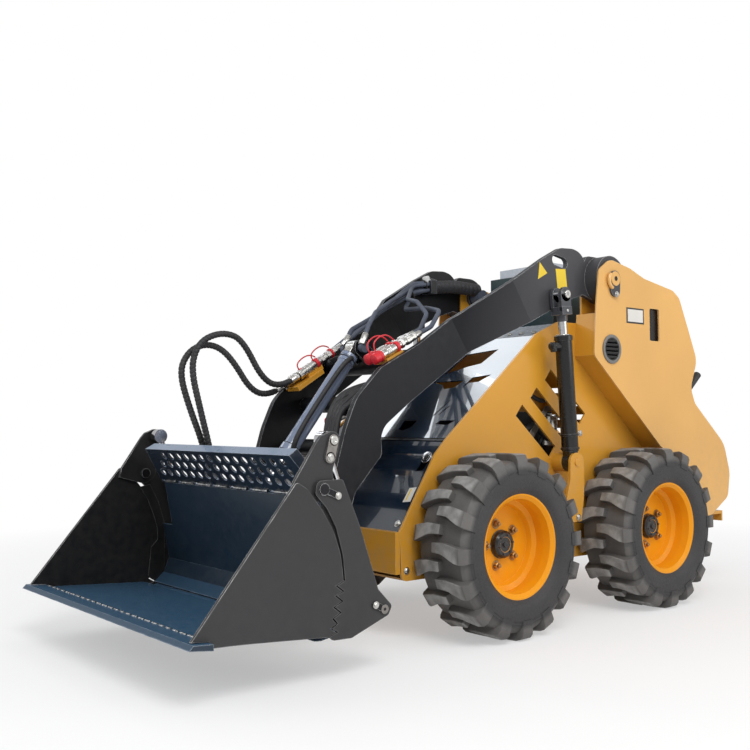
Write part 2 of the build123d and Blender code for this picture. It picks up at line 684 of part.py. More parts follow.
# ---- cylinders ----------------------------------------------------------------------------
def barrel(base, head, tube_radius, rod_radius, length, x, half_eye, eye_radius):
    """A cylinder's tube with its base eye, bored for the rod."""
    eye_hole = disc(base, cylinder_pin_radius + pin_gap, x - half_eye - 1, x + half_eye + 1)
    part = disc(base, eye_radius, x - half_eye, x + half_eye)
    neck = eye_radius + 10
    part += block_along(base, head, 0, neck, eye_radius * 0.7, x - half_eye, x + half_eye)
    part += bar_along(base, head, neck - 2, length, tube_radius, x)
    part -= bar_along(base, head, neck + 12, length + 1, rod_radius + slide_gap, x)
    return part - eye_hole


def rod(base, head, rod_radius, inside, x, half_eye, eye_radius):
    """A rod that reaches into its tube, with a closed eye at the head."""
    length = span(base, head)
    part = bar_along(base, head, inside, length, rod_radius, x)
    return part + disc(head, eye_radius, x - half_eye, x + half_eye)


lift_length = span(lift_base, lift_head)
lift_tube = barrel(lift_base, lift_head, 30, 16, lift_length - 146, lift_x, eye_half, lift_eye_radius)
port_at = toward(lift_base, lift_head, lift_length - 186)
lift_tube += Pos(lift_x, port_at[0] - 38, port_at[1]) * Rot(90, 0, 0) * Cylinder(12, 44)
lift_tube -= bar_along(lift_base, lift_head, 60, lift_length, 16 + slide_gap, lift_x)
write("lift_barrel_left", lift_tube)
write("lift_barrel_right", mirrored(lift_tube))
lift_rod = bar_along(lift_base, lift_head, 105, lift_length - 62, 16, lift_x)
lift_rod += block_along(lift_base, lift_head, lift_length - 70, lift_length - 44, 26,
                        lift_x - 26, lift_x + 24)
for x0 in (lift_x - 26, lift_x + 12):
    lift_rod += block_along(lift_base, lift_head, lift_length - 60, lift_length, 26, x0, x0 + 12)
    lift_rod += disc(lift_head, 26, x0, x0 + 12)
lift_rod += disc(lift_head, 14, arm_rear_x + side_gap, lift_x + 34)
write("lift_rod_left", lift_rod)
write("lift_rod_right", mirrored(lift_rod))

tilt_tube = barrel(tilt_base, tilt_head, 27, 15, 450, 0, tilt_ear_gap - side_gap, 26)
write("tilt_barrel", tilt_tube)
tilt_rod = rod(tilt_base, tilt_head, 15, 150, 0, 18, 26)
write("tilt_rod", tilt_rod)

clam_length = span(clam_base, clam_head)
clam_half_eye = 14.0
clam_tube = barrel(clam_base, clam_head, 22, 12, clam_length - 150, clam_x, clam_half_eye, 24)
write("clam_barrel_left", clam_tube)
write("clam_barrel_right", mirrored(clam_tube))
clam_rod = rod(clam_base, clam_head, 12, 172, clam_x, clam_half_eye, 24)
write("clam_rod_left", clam_rod)
write("clam_rod_right", mirrored(clam_rod))

# ---- bucket -------------------------------------------------------------------------------
side_inner = bucket_side_x - bucket_plate
jaw_teeth = [(-705, 263), (-731, 252), (-708, 235), (-734, 226), (-711, 209), (-740, 197), (-717, 180),
             (-743, 167), (-729, 153), (-749, 142), (-729, 130), (-758, 121)]
relief = [(-856, 532, 10), (-822, 512, 30), (-773, 452, 60), (-739, 400, 100), (-713, 332, 200)]
gap = jaw_gap
rear_side_outline = [
    (-792, 532, 18), (-707, 533, 12), (-646, 398, 60), (-585, 227, 20), (-535, 177, 12),
    (-549, 153, 12), (-678, 108, 10), (-737, 110, 0),
    *[(y + gap, z, 0) for y, z in reversed(jaw_teeth)],
    (-713 + gap, 332, 100), (-735 + gap, 405, 60), (-766 + gap, 459, 40), (-797, 497, 12),
]
bucket_side = plate(rear_side_outline, side_inner, bucket_side_x)
clam_side_outline = [
    *relief, *[(y, z, 0) for y, z in jaw_teeth], (-1018, 141, 20),
    (lip_tip[0] + lip_length + 1, lip_tip[1] - 7, 0),
    (lip_tip[0] + lip_length + 1, lip_tip[1] + lip_thickness - 7, 0),
    (lip_tip[0] + 17, lip_tip[1] + lip_thickness - 2, 0),
]
clam_side = plate(clam_side_outline, side_inner, bucket_side_x)
moldboard = strip([wall_top, wall_bottom, wall_heel, wall_edge], bucket_plate,
                  -side_inner + seat_gap, side_inner - seat_gap)
moldboard -= box((wall_half_top, bucket_side_x), (-760, -600), (330, 500))
moldboard -= box((-bucket_side_x, -wall_half_top), (-760, -600), (330, 500))


guard_slope = span(guard_top, wall_top)
guard_down = ((wall_top[0] - guard_top[0]) / guard_slope, (wall_top[1] - guard_top[1]) / guard_slope)
guard_end = (guard_top[0] + guard_down[0] * 80 - guard_down[1] * 34,
             guard_top[1] + guard_down[1] * 80 + guard_down[0] * 34)
guard = strip([guard_flange, guard_top, toward(wall_top, guard_top, seat_gap)], guard_plate,
              -guard_half_bottom, guard_half_bottom)
end_plate = plate([guard_flange + (0,), guard_top + (0,), toward(wall_top, guard_top, seat_gap) + (0,),
                   guard_end + (0,)], -guard_half_bottom, guard_half_bottom)


def slanted(part, half_top, half_bottom):
    """The part between two ends that spread from the guard's top to its foot."""
    for side in (1, -1):
        corner = Polyline((side * half_top, 660), (side * (guard_half_bottom + 60), 660),
                          (side * (guard_half_bottom + 60), 440), (side * half_bottom, 479), close=True)
        part -= Pos(0, -700, 0) * extrude(make_face(Plane.XZ * corner), amount=200, both=True)
    return part


guard = slanted(guard, guard_half_top, guard_half_bottom)
guard += slanted(end_plate, guard_half_top, guard_half_bottom) - slanted(
    end_plate, guard_half_top - guard_plate, guard_half_bottom - guard_plate)
# (distance down the guard, first hole's x, count) of each row of holes
hole_rows = [(27, -326, 15), (62, -370, 16), (98, -411, 17)]
hole_pitch = 50.4
weld_slots, weld_slot_pitch, weld_slot = 9, 112.5, (22.0, 7.0)
hole_plane = Plane(origin=(0, *guard_top), x_dir=(1, 0, 0), z_dir=(0, guard_down[1], -guard_down[0]))
holes = []
for down, first, count in hole_rows:
    for i in range(count):
        at = hole_plane * Pos(first + i * hole_pitch, -down, 0)
        holes.append(at * extrude(RegularPolygon(guard_hole_radius, 12), amount=20, both=True))
for i in range(weld_slots):
    at = hole_plane * Pos((i - (weld_slots - 1) / 2) * weld_slot_pitch, 8 - guard_slope, 0)
    holes.append(at * extrude(Rectangle(*weld_slot), amount=20, both=True))
guard -= holes
quick = strip([behind_wall(20, quick_gap), behind_wall(262, quick_gap)], quick_plate, -300, 300)
for x0 in (200.0, 246.0):
    arm_ears = plate([(-675, 326, 0), (-656, 222, 0), (tilt_pin[0], tilt_pin[1] - 38, 36),
                      (tilt_pin[0] + 38, tilt_pin[1], 36), (tilt_pin[0], tilt_pin[1] + 38, 30)],
                     x0, x0 + 12)
    quick += arm_ears
    quick += mirrored(arm_ears)
for x0 in (20.0, -32.0):
    quick += plate([(-707, 472, 0), (-685, 378, 0), (-629, 402, 20), (-614, 438, 24), (-644, 468, 24)],
                   x0, x0 + 12)
quick += disc(tilt_pin, tilt_pin_radius, 195, 262)
quick += disc(tilt_pin, tilt_pin_radius, -262, -195)
manifold_foot = manifold_down + 44
manifold = make_face(Plane.YZ * Polyline(
    behind_wall(manifold_down, manifold_back - 1),
    behind_wall(manifold_down, manifold_back + manifold_depth),
    behind_wall(manifold_foot, manifold_back + manifold_depth),
    behind_wall(manifold_foot, manifold_back - 1), close=True))
quick += slab(manifold, hose_outer_x - 22, hose_inner_x + 22)
write("moldboard", moldboard)
write("spill_guard", guard)
write("quick_attach", quick)
clam_pin_radius, pin_proud, tongue_out, bolt_out = 16.0, 5.0, 4.5, 9.0
# each pin through the bucket's side: (centre, radius, inner end's x, its keeper bolt)
side_pins = [
    (clam_pivot, clam_pin_radius, side_inner - ear_plate - 8, (-725.0, 490.0)),
    (clam_base, cylinder_pin_radius, clam_x - clam_half_eye - 6, (-597.0, 186.0)),
]
pins = []
for centre, radius, inner_x, bolt_at in side_pins:
    pin = disc(centre, radius, inner_x, bucket_side_x + pin_proud)
    pin += block_along(centre, bolt_at, 8, span(centre, bolt_at), 9, bucket_side_x + seat_gap,
                       bucket_side_x + tongue_out)
    pin += disc(bolt_at, 9, bucket_side_x + seat_gap, bucket_side_x + tongue_out)
    pin += disc(bolt_at, 6, bucket_side_x + 4, bucket_side_x + bolt_out)
    pins += pin.solids()
    bucket_side -= disc(centre, radius + pin_gap, side_inner - 1, bucket_side_x + 1)
write("bucket_sides", both(bucket_side))
write("clam_pins", both(Compound(children=pins)))

ear_outline = [
    (-857, 531, 0), (-787, 632, 20), (-772, 649, 14), (-733, 664, 24), (-707, 650, 20), (-715, 609, 20),
    (-733, 559, 30), (-730, 498, 30), (-770, 472, 30), (-866, 498, 0),
]
ear = plate(ear_outline, side_inner - ear_plate - seat_gap, side_inner - seat_gap)
ear += disc(clam_head, 16, clam_x + clam_half_eye + side_gap, side_inner - ear_plate)
# the oblong keeper outside the ear, with the pin's end and a bolt
keeper_x = (side_inner - 1, side_inner + 5)
keeper = block_along(clam_head, clam_keeper_bolt, 0, span(clam_head, clam_keeper_bolt), 15, *keeper_x)
for at in (clam_head, clam_keeper_bolt):
    keeper += disc(at, 15, *keeper_x)
keeper += disc(clam_head, 9, keeper_x[1] - 1, keeper_x[1] + 2)
keeper += disc(clam_keeper_bolt, 7, keeper_x[1] - 1, keeper_x[1] + 5)
ear += keeper
ear -= disc(clam_pivot, clam_pin_radius + pin_gap, side_inner - ear_plate - 2, side_inner)
lip_back = (lip_tip[0] + lip_length, lip_tip[1] - 8)
floor_back = (-765.0, 122.0)
clam_floor = strip([toward(lip_back, floor_back, seat_gap), floor_back], 10, -side_inner + seat_gap,
                   side_inner - seat_gap)
lip = plate([lip_tip + (0,), lip_back + (0,), (lip_back[0], lip_back[1] + lip_thickness, 0),
             (lip_tip[0] + 12, lip_tip[1] + 12, 0)],
            -lip_half_width, lip_half_width)
write("clam_sides", both(clam_side))
write("clam_ears", both(ear))
write("clam_floor", clam_floor)
write("cutting_edge", lip)
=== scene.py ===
"""Looks of a compact stand-on wheeled skid steer loader with a clamshell bucket.

Places are in the machine's own millimetres: x to its left, y behind the front axle and z above
the ground. mm() turns them into the frame's metres.
"""
import math

import bmesh
import bpy
from mathutils import Matrix, Vector


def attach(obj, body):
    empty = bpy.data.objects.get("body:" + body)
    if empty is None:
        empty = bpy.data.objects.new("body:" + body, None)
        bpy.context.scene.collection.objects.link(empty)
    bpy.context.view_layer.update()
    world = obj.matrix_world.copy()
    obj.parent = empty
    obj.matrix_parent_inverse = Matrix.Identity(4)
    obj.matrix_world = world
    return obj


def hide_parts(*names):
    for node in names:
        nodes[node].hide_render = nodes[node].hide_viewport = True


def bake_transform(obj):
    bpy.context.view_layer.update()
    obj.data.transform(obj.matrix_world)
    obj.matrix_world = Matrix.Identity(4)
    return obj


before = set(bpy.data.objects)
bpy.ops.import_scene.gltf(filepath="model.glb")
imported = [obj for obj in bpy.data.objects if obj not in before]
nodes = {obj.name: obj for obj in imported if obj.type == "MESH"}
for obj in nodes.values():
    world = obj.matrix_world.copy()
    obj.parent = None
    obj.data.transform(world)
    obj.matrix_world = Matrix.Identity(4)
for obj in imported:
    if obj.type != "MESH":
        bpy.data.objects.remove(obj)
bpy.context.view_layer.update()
scene = bpy.context.scene
AXLE_TO_ORIGIN = 122.0


def mm(x, y, z):
    """The frame's point for a place on the machine."""
    return Vector((x / 1000, (y - AXLE_TO_ORIGIN) / 1000, z / 1000))


# ---- camera -------------------------------------------------------------------------------
camera_azimuth, camera_pitch, camera_roll = 50.6, 2.7, -0.2
camera_place = (2.5722, -2.3895, 0.6913)
focal_px, image_px, sensor_mm = 953.3, 750.0, 36.0
camera_data = bpy.data.cameras.new("camera")
camera_data.sensor_width = sensor_mm
camera_data.lens = focal_px / image_px * sensor_mm
camera = bpy.data.objects.new("camera", camera_data)
turn = Matrix.Rotation(math.radians(camera_azimuth), 4, "Z")
turn @= Matrix.Rotation(math.radians(90 + camera_pitch), 4, "X")
turn @= Matrix.Rotation(math.radians(camera_roll), 4, "Z")
camera.matrix_world = Matrix.Translation(camera_place) @ turn
scene.collection.objects.link(camera)
scene.camera = camera


# ---- materials ----------------------------------------------------------------------------
class Mat:
    """A small wrapper that builds one node material."""

    def __init__(self, name):
        self.material = bpy.data.materials.new(name)
        self.material.use_nodes = True
        self.tree = self.material.node_tree
        self.bsdf = self.tree.nodes["Principled BSDF"]
        self.coords = self.tree.nodes.new("ShaderNodeTexCoord").outputs["Object"]

    def link(self, output, target):
        self.tree.links.new(output, target)

    def node(self, kind, **inputs):
        """A node; _key sets an attribute, iN the Nth input and any other key a named input."""
        made = self.tree.nodes.new(kind)
        for key, value in inputs.items():
            if key.startswith("_"):
                setattr(made, key[1:], value)
                continue
            socket = made.inputs[int(key[1:])] if key[0] == "i" and key[1:].isdigit() else made.inputs[key]
            if isinstance(value, bpy.types.NodeSocket):
                self.link(value, socket)
            else:
                socket.default_value = value
        return made

    def noise(self, scale, detail=3.0, stretch=None, rough=0.5):
        vector = self.coords
        if stretch:
            vector = self.node("ShaderNodeMapping", Vector=self.coords, Scale=stretch).outputs[0]
        return self.node("ShaderNodeTexNoise", Vector=vector, Scale=scale, Detail=detail,
                         Roughness=rough).outputs["Fac"]

    def ramp(self, fac, low, high, a=0.0, b=1.0):
        """fac from low..high mapped to a..b."""
        return self.node("ShaderNodeMapRange", Value=fac, **{"From Min": low, "From Max": high,
                                                            "To Min": a, "To Max": b}).outputs[0]

    def mix(self, fac, a, b):
        made = self.tree.nodes.new("ShaderNodeMix")
        made.data_type = "RGBA"
        for index, value in ((0, fac), (6, a), (7, b)):
            if isinstance(value, bpy.types.NodeSocket):
                self.link(value, made.inputs[index])
            else:
                made.inputs[index].default_value = value if index == 0 else (*value, 1.0)
        return made.outputs[2]

    def math(self, kind, a, b):
        return self.node("ShaderNodeMath", _operation=kind, i0=a, i1=b).outputs[0]

    def axis(self, index):
        """One coordinate of the shaded point at rest."""
        return self.node("ShaderNodeSeparateXYZ", Vector=self.coords).outputs[index]

    def edges(self, radius):
        """1 on the plates' edges, 0 on their faces."""
        bevel = self.node("ShaderNodeBevel", Radius=radius, _samples=4).outputs[0]
        normal = self.node("ShaderNodeNewGeometry").outputs["Normal"]
        dot = self.node("ShaderNodeVectorMath", _operation="DOT_PRODUCT", i0=bevel, i1=normal)
        return self.ramp(dot.outputs["Value"], 0.97, 0.80)

    def bump(self, height, strength, distance):
        return self.node("ShaderNodeBump", Height=height, Strength=strength, Distance=distance).outputs[0]

    def set(self, **values):
        for key, value in values.items():
            socket = self.bsdf.inputs[key.replace("_", " ")]
            if isinstance(value, bpy.types.NodeSocket):
                self.link(value, socket)
            elif isinstance(value, tuple) and len(value) == 3:
                socket.default_value = (*value, 1.0)
            else:
                socket.default_value = value
        return self


def shade(colour, k):
    return tuple(min(1.0, c * k) for c in colour)


DUST = (0.32, 0.27, 0.21)
CLOUDY = 0.06  # how far a paint's tone drifts either way


def inward(m):
    """1 on the faces that look towards the machine's middle plane, where paint() paints shade."""
    normal = m.node("ShaderNodeNewGeometry").outputs["Normal"]
    across = m.node("ShaderNodeSeparateXYZ", Vector=normal).outputs[0]
    return m.ramp(m.math("MULTIPLY", m.math("SIGN", m.axis(0), 0.0), across), -0.4, -0.8)


def upward(m):
    """1 on the faces that look up, which paint() lightens as painted light."""
    normal = m.node("ShaderNodeNewGeometry").outputs["Normal"]
    return m.ramp(m.node("ShaderNodeSeparateXYZ", Vector=normal).outputs[2], 0.55, 0.85)


def beside(m, a, b, width=0.008):
    """1 within a width of the (y, z) line from a to b, given in machine millimetres."""
    (_, ya, za), (_, yb, zb) = mm(0, *a), mm(0, *b)
    length = math.dist((ya, za), (yb, zb))
    ny, nz = (zb - za) / length, (ya - yb) / length
    offset = m.math("ADD", m.math("MULTIPLY", m.axis(1), ny), m.math("MULTIPLY", m.axis(2), nz))
    return m.ramp(m.math("ABSOLUTE", m.math("SUBTRACT", offset, ny * ya + nz * za), 0.0), width, width * 0.6)


def paint(name, colour, rough=0.32, coat=0.5, dust=0.25, wear_and_highlight=0.5, wear_and_highlight_colour=(0.55, 0.55, 0.56),
          edge=0.004, shine=0.35, inside=0.0, top=None, wear_and_highlight_line=None, lit_rear=None):
    """Sprayed paint: cloudy tone, orange peel, dust low down, and lighter edges: worn paint and painted
    highlight.

    inside paints shade: it darkens the faces that look inwards. top and lit_rear are lighter tones,
    painted light, for upward faces and for the machine's back end, and wear_and_highlight_line
    keeps most of the worn and highlighted edges to one (y, z) line.
    """
    m = Mat(name)
    fine = m.noise(38.0, 4.0)
    base = m.mix(m.ramp(m.noise(2.3, 4.0), 0.3, 0.7), shade(colour, 1 - CLOUDY), shade(colour, 1 + CLOUDY))
    # painted light: the rear of the piece fades into the lighter lit_rear tone
    if lit_rear:
        base = m.mix(m.ramp(m.axis(1), -0.10, 0.22), base, lit_rear)
    # painted light: faces that look up take the lighter top tone
    if top:
        base = m.mix(upward(m), base, top)
    # painted shade: faces that look inwards darken towards a quarter of the paint's tone
    if inside:
        base = m.mix(m.math("MULTIPLY", inward(m), inside), base, shade(colour, 0.25))
    dirt = m.math("MULTIPLY", m.ramp(m.axis(2), 0.75, 0.05, 0.0, dust), m.ramp(fine, 0.35, 0.7))
    base = m.mix(dirt, base, DUST)
    # lighter edges: partly worn paint, partly painted highlight
    edge_wear_and_highlight = m.math("MULTIPLY", m.edges(edge), m.ramp(m.noise(24.0, 5.0), 0.38, 0.58, 0.3 * wear_and_highlight, wear_and_highlight))
    if wear_and_highlight_line:
        edge_wear_and_highlight = m.math("MULTIPLY", edge_wear_and_highlight, m.ramp(beside(m, *wear_and_highlight_line), 0.0, 1.0, 0.25, 1.0))
    base = m.mix(edge_wear_and_highlight, base, wear_and_highlight_colour)
    scratch = m.ramp(m.noise(30.0, 6.0, (0.3, 6.0, 1.0), 0.7), 0.66, 0.74, 0.0, 0.20)
    base = m.mix(scratch, base, shade(colour, 1.3))
    m.set(Base_Color=base, Roughness=m.ramp(fine, 0.3, 0.7, rough * 0.85, rough * 1.2),
          Coat_Weight=coat, Coat_Roughness=0.12, Specular_IOR_Level=shine,
          Normal=m.bump(m.noise(420.0, 2.0), 0.08, 0.0004))
    return m.material


def gloss(name, colour):
    """Polished dark enamel: a mirror-like coat over a cloudy base."""
    m = Mat(name)
    base = m.mix(m.ramp(m.noise(3.0, 3.0), 0.3, 0.7), shade(colour, 0.8), shade(colour, 1.25))
    dirt = m.math("MULTIPLY", m.ramp(m.axis(2), 0.8, 0.2, 0.0, 0.06), m.ramp(m.noise(40.0, 5.0), 0.4, 0.7))
    m.set(Base_Color=m.mix(dirt, base, DUST), Roughness=m.ramp(m.noise(12.0, 4.0), 0.3, 0.7, 0.10, 0.18),
          Coat_Weight=1.0, Coat_Roughness=0.02, Coat_IOR=1.7,
          Normal=m.bump(m.noise(1.6, 2.0), 0.12, 0.004))
    return m.material


def bare(name, colour, rough):
    """Bare or plated metal."""
    m = Mat(name)
    grain = m.noise(60.0, 4.0)
    m.set(Base_Color=m.mix(m.ramp(grain, 0.3, 0.7), shade(colour, 0.8), colour), Metallic=1.0,
          Roughness=m.ramp(grain, 0.3, 0.7, rough * 0.7, rough * 1.3),
          Normal=m.bump(grain, 0.08, 0.0003))
    return m.material


def plastic(name, colour, rough=0.45, scale=300.0):
    m = Mat(name)
    cloud = m.noise(7.0)
    m.set(Base_Color=m.mix(cloud, shade(colour, 0.85), shade(colour, 1.1)),
          Roughness=m.ramp(cloud, 0.3, 0.7, rough * 0.85, rough * 1.15),
          Normal=m.bump(m.noise(scale, 2.0), 0.15, 0.0004))
    return m.material


def rubber(name, colour=(0.028, 0.027, 0.026), dusty=0.35):
    m = Mat(name)
    cloud, fine = m.noise(9.0, 5.0), m.noise(160.0, 3.0)
    base = m.mix(m.ramp(cloud, 0.35, 0.75), colour, shade(colour, 1.8))
    dirt = m.math("MULTIPLY", m.ramp(m.noise(14.0, 6.0), 0.5, 0.75), dusty)
    m.set(Base_Color=m.mix(dirt, base, (0.14, 0.125, 0.105)),
          Roughness=m.ramp(fine, 0.3, 0.7, 0.5, 0.75), Normal=m.bump(fine, 0.2, 0.0006))
    return m.material


def tyre_rubber(name):
    """Tread rubber: grey-brown dust between the lugs, scuffed lug tops, darker sidewalls."""
    m = Mat(name)
    y, z = m.axis(1), m.axis(2)
    radius = m.math("SQRT", m.math("ADD", m.math("MULTIPLY", y, y), m.math("MULTIPLY", z, z)), 0.0)
    cloud, fine = m.noise(8.0, 5.0), m.noise(150.0, 3.0)
    base = m.mix(m.ramp(cloud, 0.3, 0.75), (0.026, 0.026, 0.028), (0.042, 0.040, 0.040))
    tread = m.ramp(radius, 0.240, 0.256)
    base = m.mix(m.math("MULTIPLY", tread, m.ramp(cloud, 0.3, 0.7, 0.45, 0.85)), base, (0.150, 0.142, 0.134))
    top = m.ramp(radius, 0.286, 0.290)
    base = m.mix(m.math("MULTIPLY", top, m.ramp(m.noise(30.0, 5.0), 0.35, 0.65, 0.3, 0.9)), base,
                 (0.34, 0.335, 0.325))
    m.set(Base_Color=base, Roughness=m.ramp(fine, 0.3, 0.7, 0.48, 0.70),
          Normal=m.bump(fine, 0.2, 0.0008))
    return m.material


YELLOW = (0.62, 0.29, 0.025)
looks = {
    "yellow": paint("yellow_paint", YELLOW, 0.34, 0.4, wear_and_highlight_colour=(0.86, 0.62, 0.30)),
    "pale": paint("pale_yellow_paint", (0.72, 0.40, 0.115), 0.38, 0.4, wear_and_highlight_colour=(0.9, 0.75, 0.5)),
    "navy": gloss("navy_gloss_paint", (0.006, 0.016, 0.034)),
    # charcoal and arm: inside gives their inner faces painted shade
    "charcoal": paint("charcoal_paint", (0.034, 0.034, 0.036), 0.46, 0.05, 0.03, 1.0, (0.62, 0.61, 0.60),
                      # the charcoal's lighter edges, worn paint and painted highlight, kept mostly to the
                      # side's front edge
                      shine=0.3, inside=0.95, wear_and_highlight_line=((-856, 532), (-1159, 166))),
    "arm": paint("arm_paint", (0.008, 0.0085, 0.0115), 0.40, 0.0, 0.05, 1.0, (0.55, 0.55, 0.56), 0.003,
                 # lit_rear is painted light: a lighter tone over the arm's rear
                 shine=0.25, inside=0.8, lit_rear=(0.058, 0.058, 0.063)),
    # bucket and slate: their top tones are painted light on faces that look up
    "bucket": paint("bucket_paint", (0.014, 0.030, 0.052), 0.34, 0.15, 0.04, 0.8, (0.40, 0.46, 0.54),
                    shine=0.3, top=(0.034, 0.090, 0.160)),
    "slate": paint("slate_paint", (0.014, 0.022, 0.036), 0.30, 0.3, 0.02, 0.8, (0.45, 0.50, 0.58),
                   top=(0.20, 0.26, 0.36)),
    "orange": paint("orange_paint", (0.80, 0.31, 0.006), 0.36, 0.1, 0.04, 0.5, (0.90, 0.55, 0.12),
                    shine=0.15),
    "nut": bare("rusty_nut", (0.42, 0.26, 0.12), 0.42),
    "black": paint("black_paint", (0.008, 0.008, 0.009), 0.28, 0.35, 0.05, 0.5, (0.2, 0.2, 0.2)),
    "steel_blue": paint("cylinder_paint", (0.19, 0.235, 0.34), 0.22, 0.8, 0.1),
    "teal": paint("console_paint", (0.012, 0.035, 0.042), 0.4, 0.3, 0.0),
    "grey": paint("grey_paint", (0.50, 0.54, 0.60), 0.25, 0.5, 0.0),
    "chrome": bare("chrome_rod", (0.80, 0.80, 0.82), 0.10),
    "zinc": bare("zinc_plate", (0.66, 0.65, 0.62), 0.30),
    "clevis": paint("clevis_paint", (0.055, 0.058, 0.066), 0.30, 0.4, 0.1, 0.9, (0.5, 0.5, 0.52), 0.003),
    "weld": bare("weld_bead", (0.42, 0.42, 0.42), 0.38),
    "bezel": plastic("vent_bezel", (0.16, 0.155, 0.15), 0.4),
    "worn": bare("worn_steel", (0.30, 0.28, 0.26), 0.42),
    "iron": paint("engine_iron", (0.03, 0.03, 0.03), 0.6, 0.0, 0.3),
    "hose": rubber("hose_rubber", (0.018, 0.018, 0.020), 0.1),
    "line": rubber("line_rubber", (0.050, 0.060, 0.085), 0.1),
    "red": plastic("red_cap", (0.62, 0.018, 0.03), 0.35),
    "grip": plastic("black_grip", (0.02, 0.02, 0.02), 0.55, 120.0),
    "white": plastic("white_clamp", (0.62, 0.62, 0.62), 0.4),
    "decal_yellow": plastic("yellow_plate", (0.78, 0.55, 0.02), 0.35),
    "decal_white": plastic("white_plate", (0.70, 0.68, 0.64), 0.35),
    "decal_black": plastic("black_plate", (0.03, 0.03, 0.03), 0.35),
}

dressing = [
    (("rim_",), "orange"), (("arm_", "boom_cross"), "arm"),
    (("boom_pivots",), "arm"), (("lift_rod", "clam_rod", "tilt_rod"), "chrome"),
    (("tilt_barrel",), "steel_blue"), (("lift_barrel",), "black"), (("clam_barrel",), "black"),
    (("clam_pins",), "arm"), (("couplers_",), "zinc"), (("spill_guard",), "slate"),
    (("clam_floor", "moldboard", "cutting_edge"), "bucket"),
    (("bucket_sides", "clam_sides", "clam_ears", "quick_attach"), "charcoal"),
    (("hood_",), "navy"), (("top_deck",), "grey"), (("cheek_vents",), "grip"),
    (("cheek_left", "cheek_right"), "pale"), (("hand_grips",), "grip"),
    (("console",), "teal"), (("instrument_panel",), "grey"), (("engine_block",), "iron"),
    (("wheel_motors",), "black"), (("hydraulic_lines",), "line"), (("hose_",), "hose"), (("",), "yellow"),
]
for name, obj in nodes.items():
    if name.startswith("tyre_"):
        continue
    look = next(key for starts, key in dressing if name.startswith(starts))
    obj.data.materials.clear()
    obj.data.materials.append(looks[look])


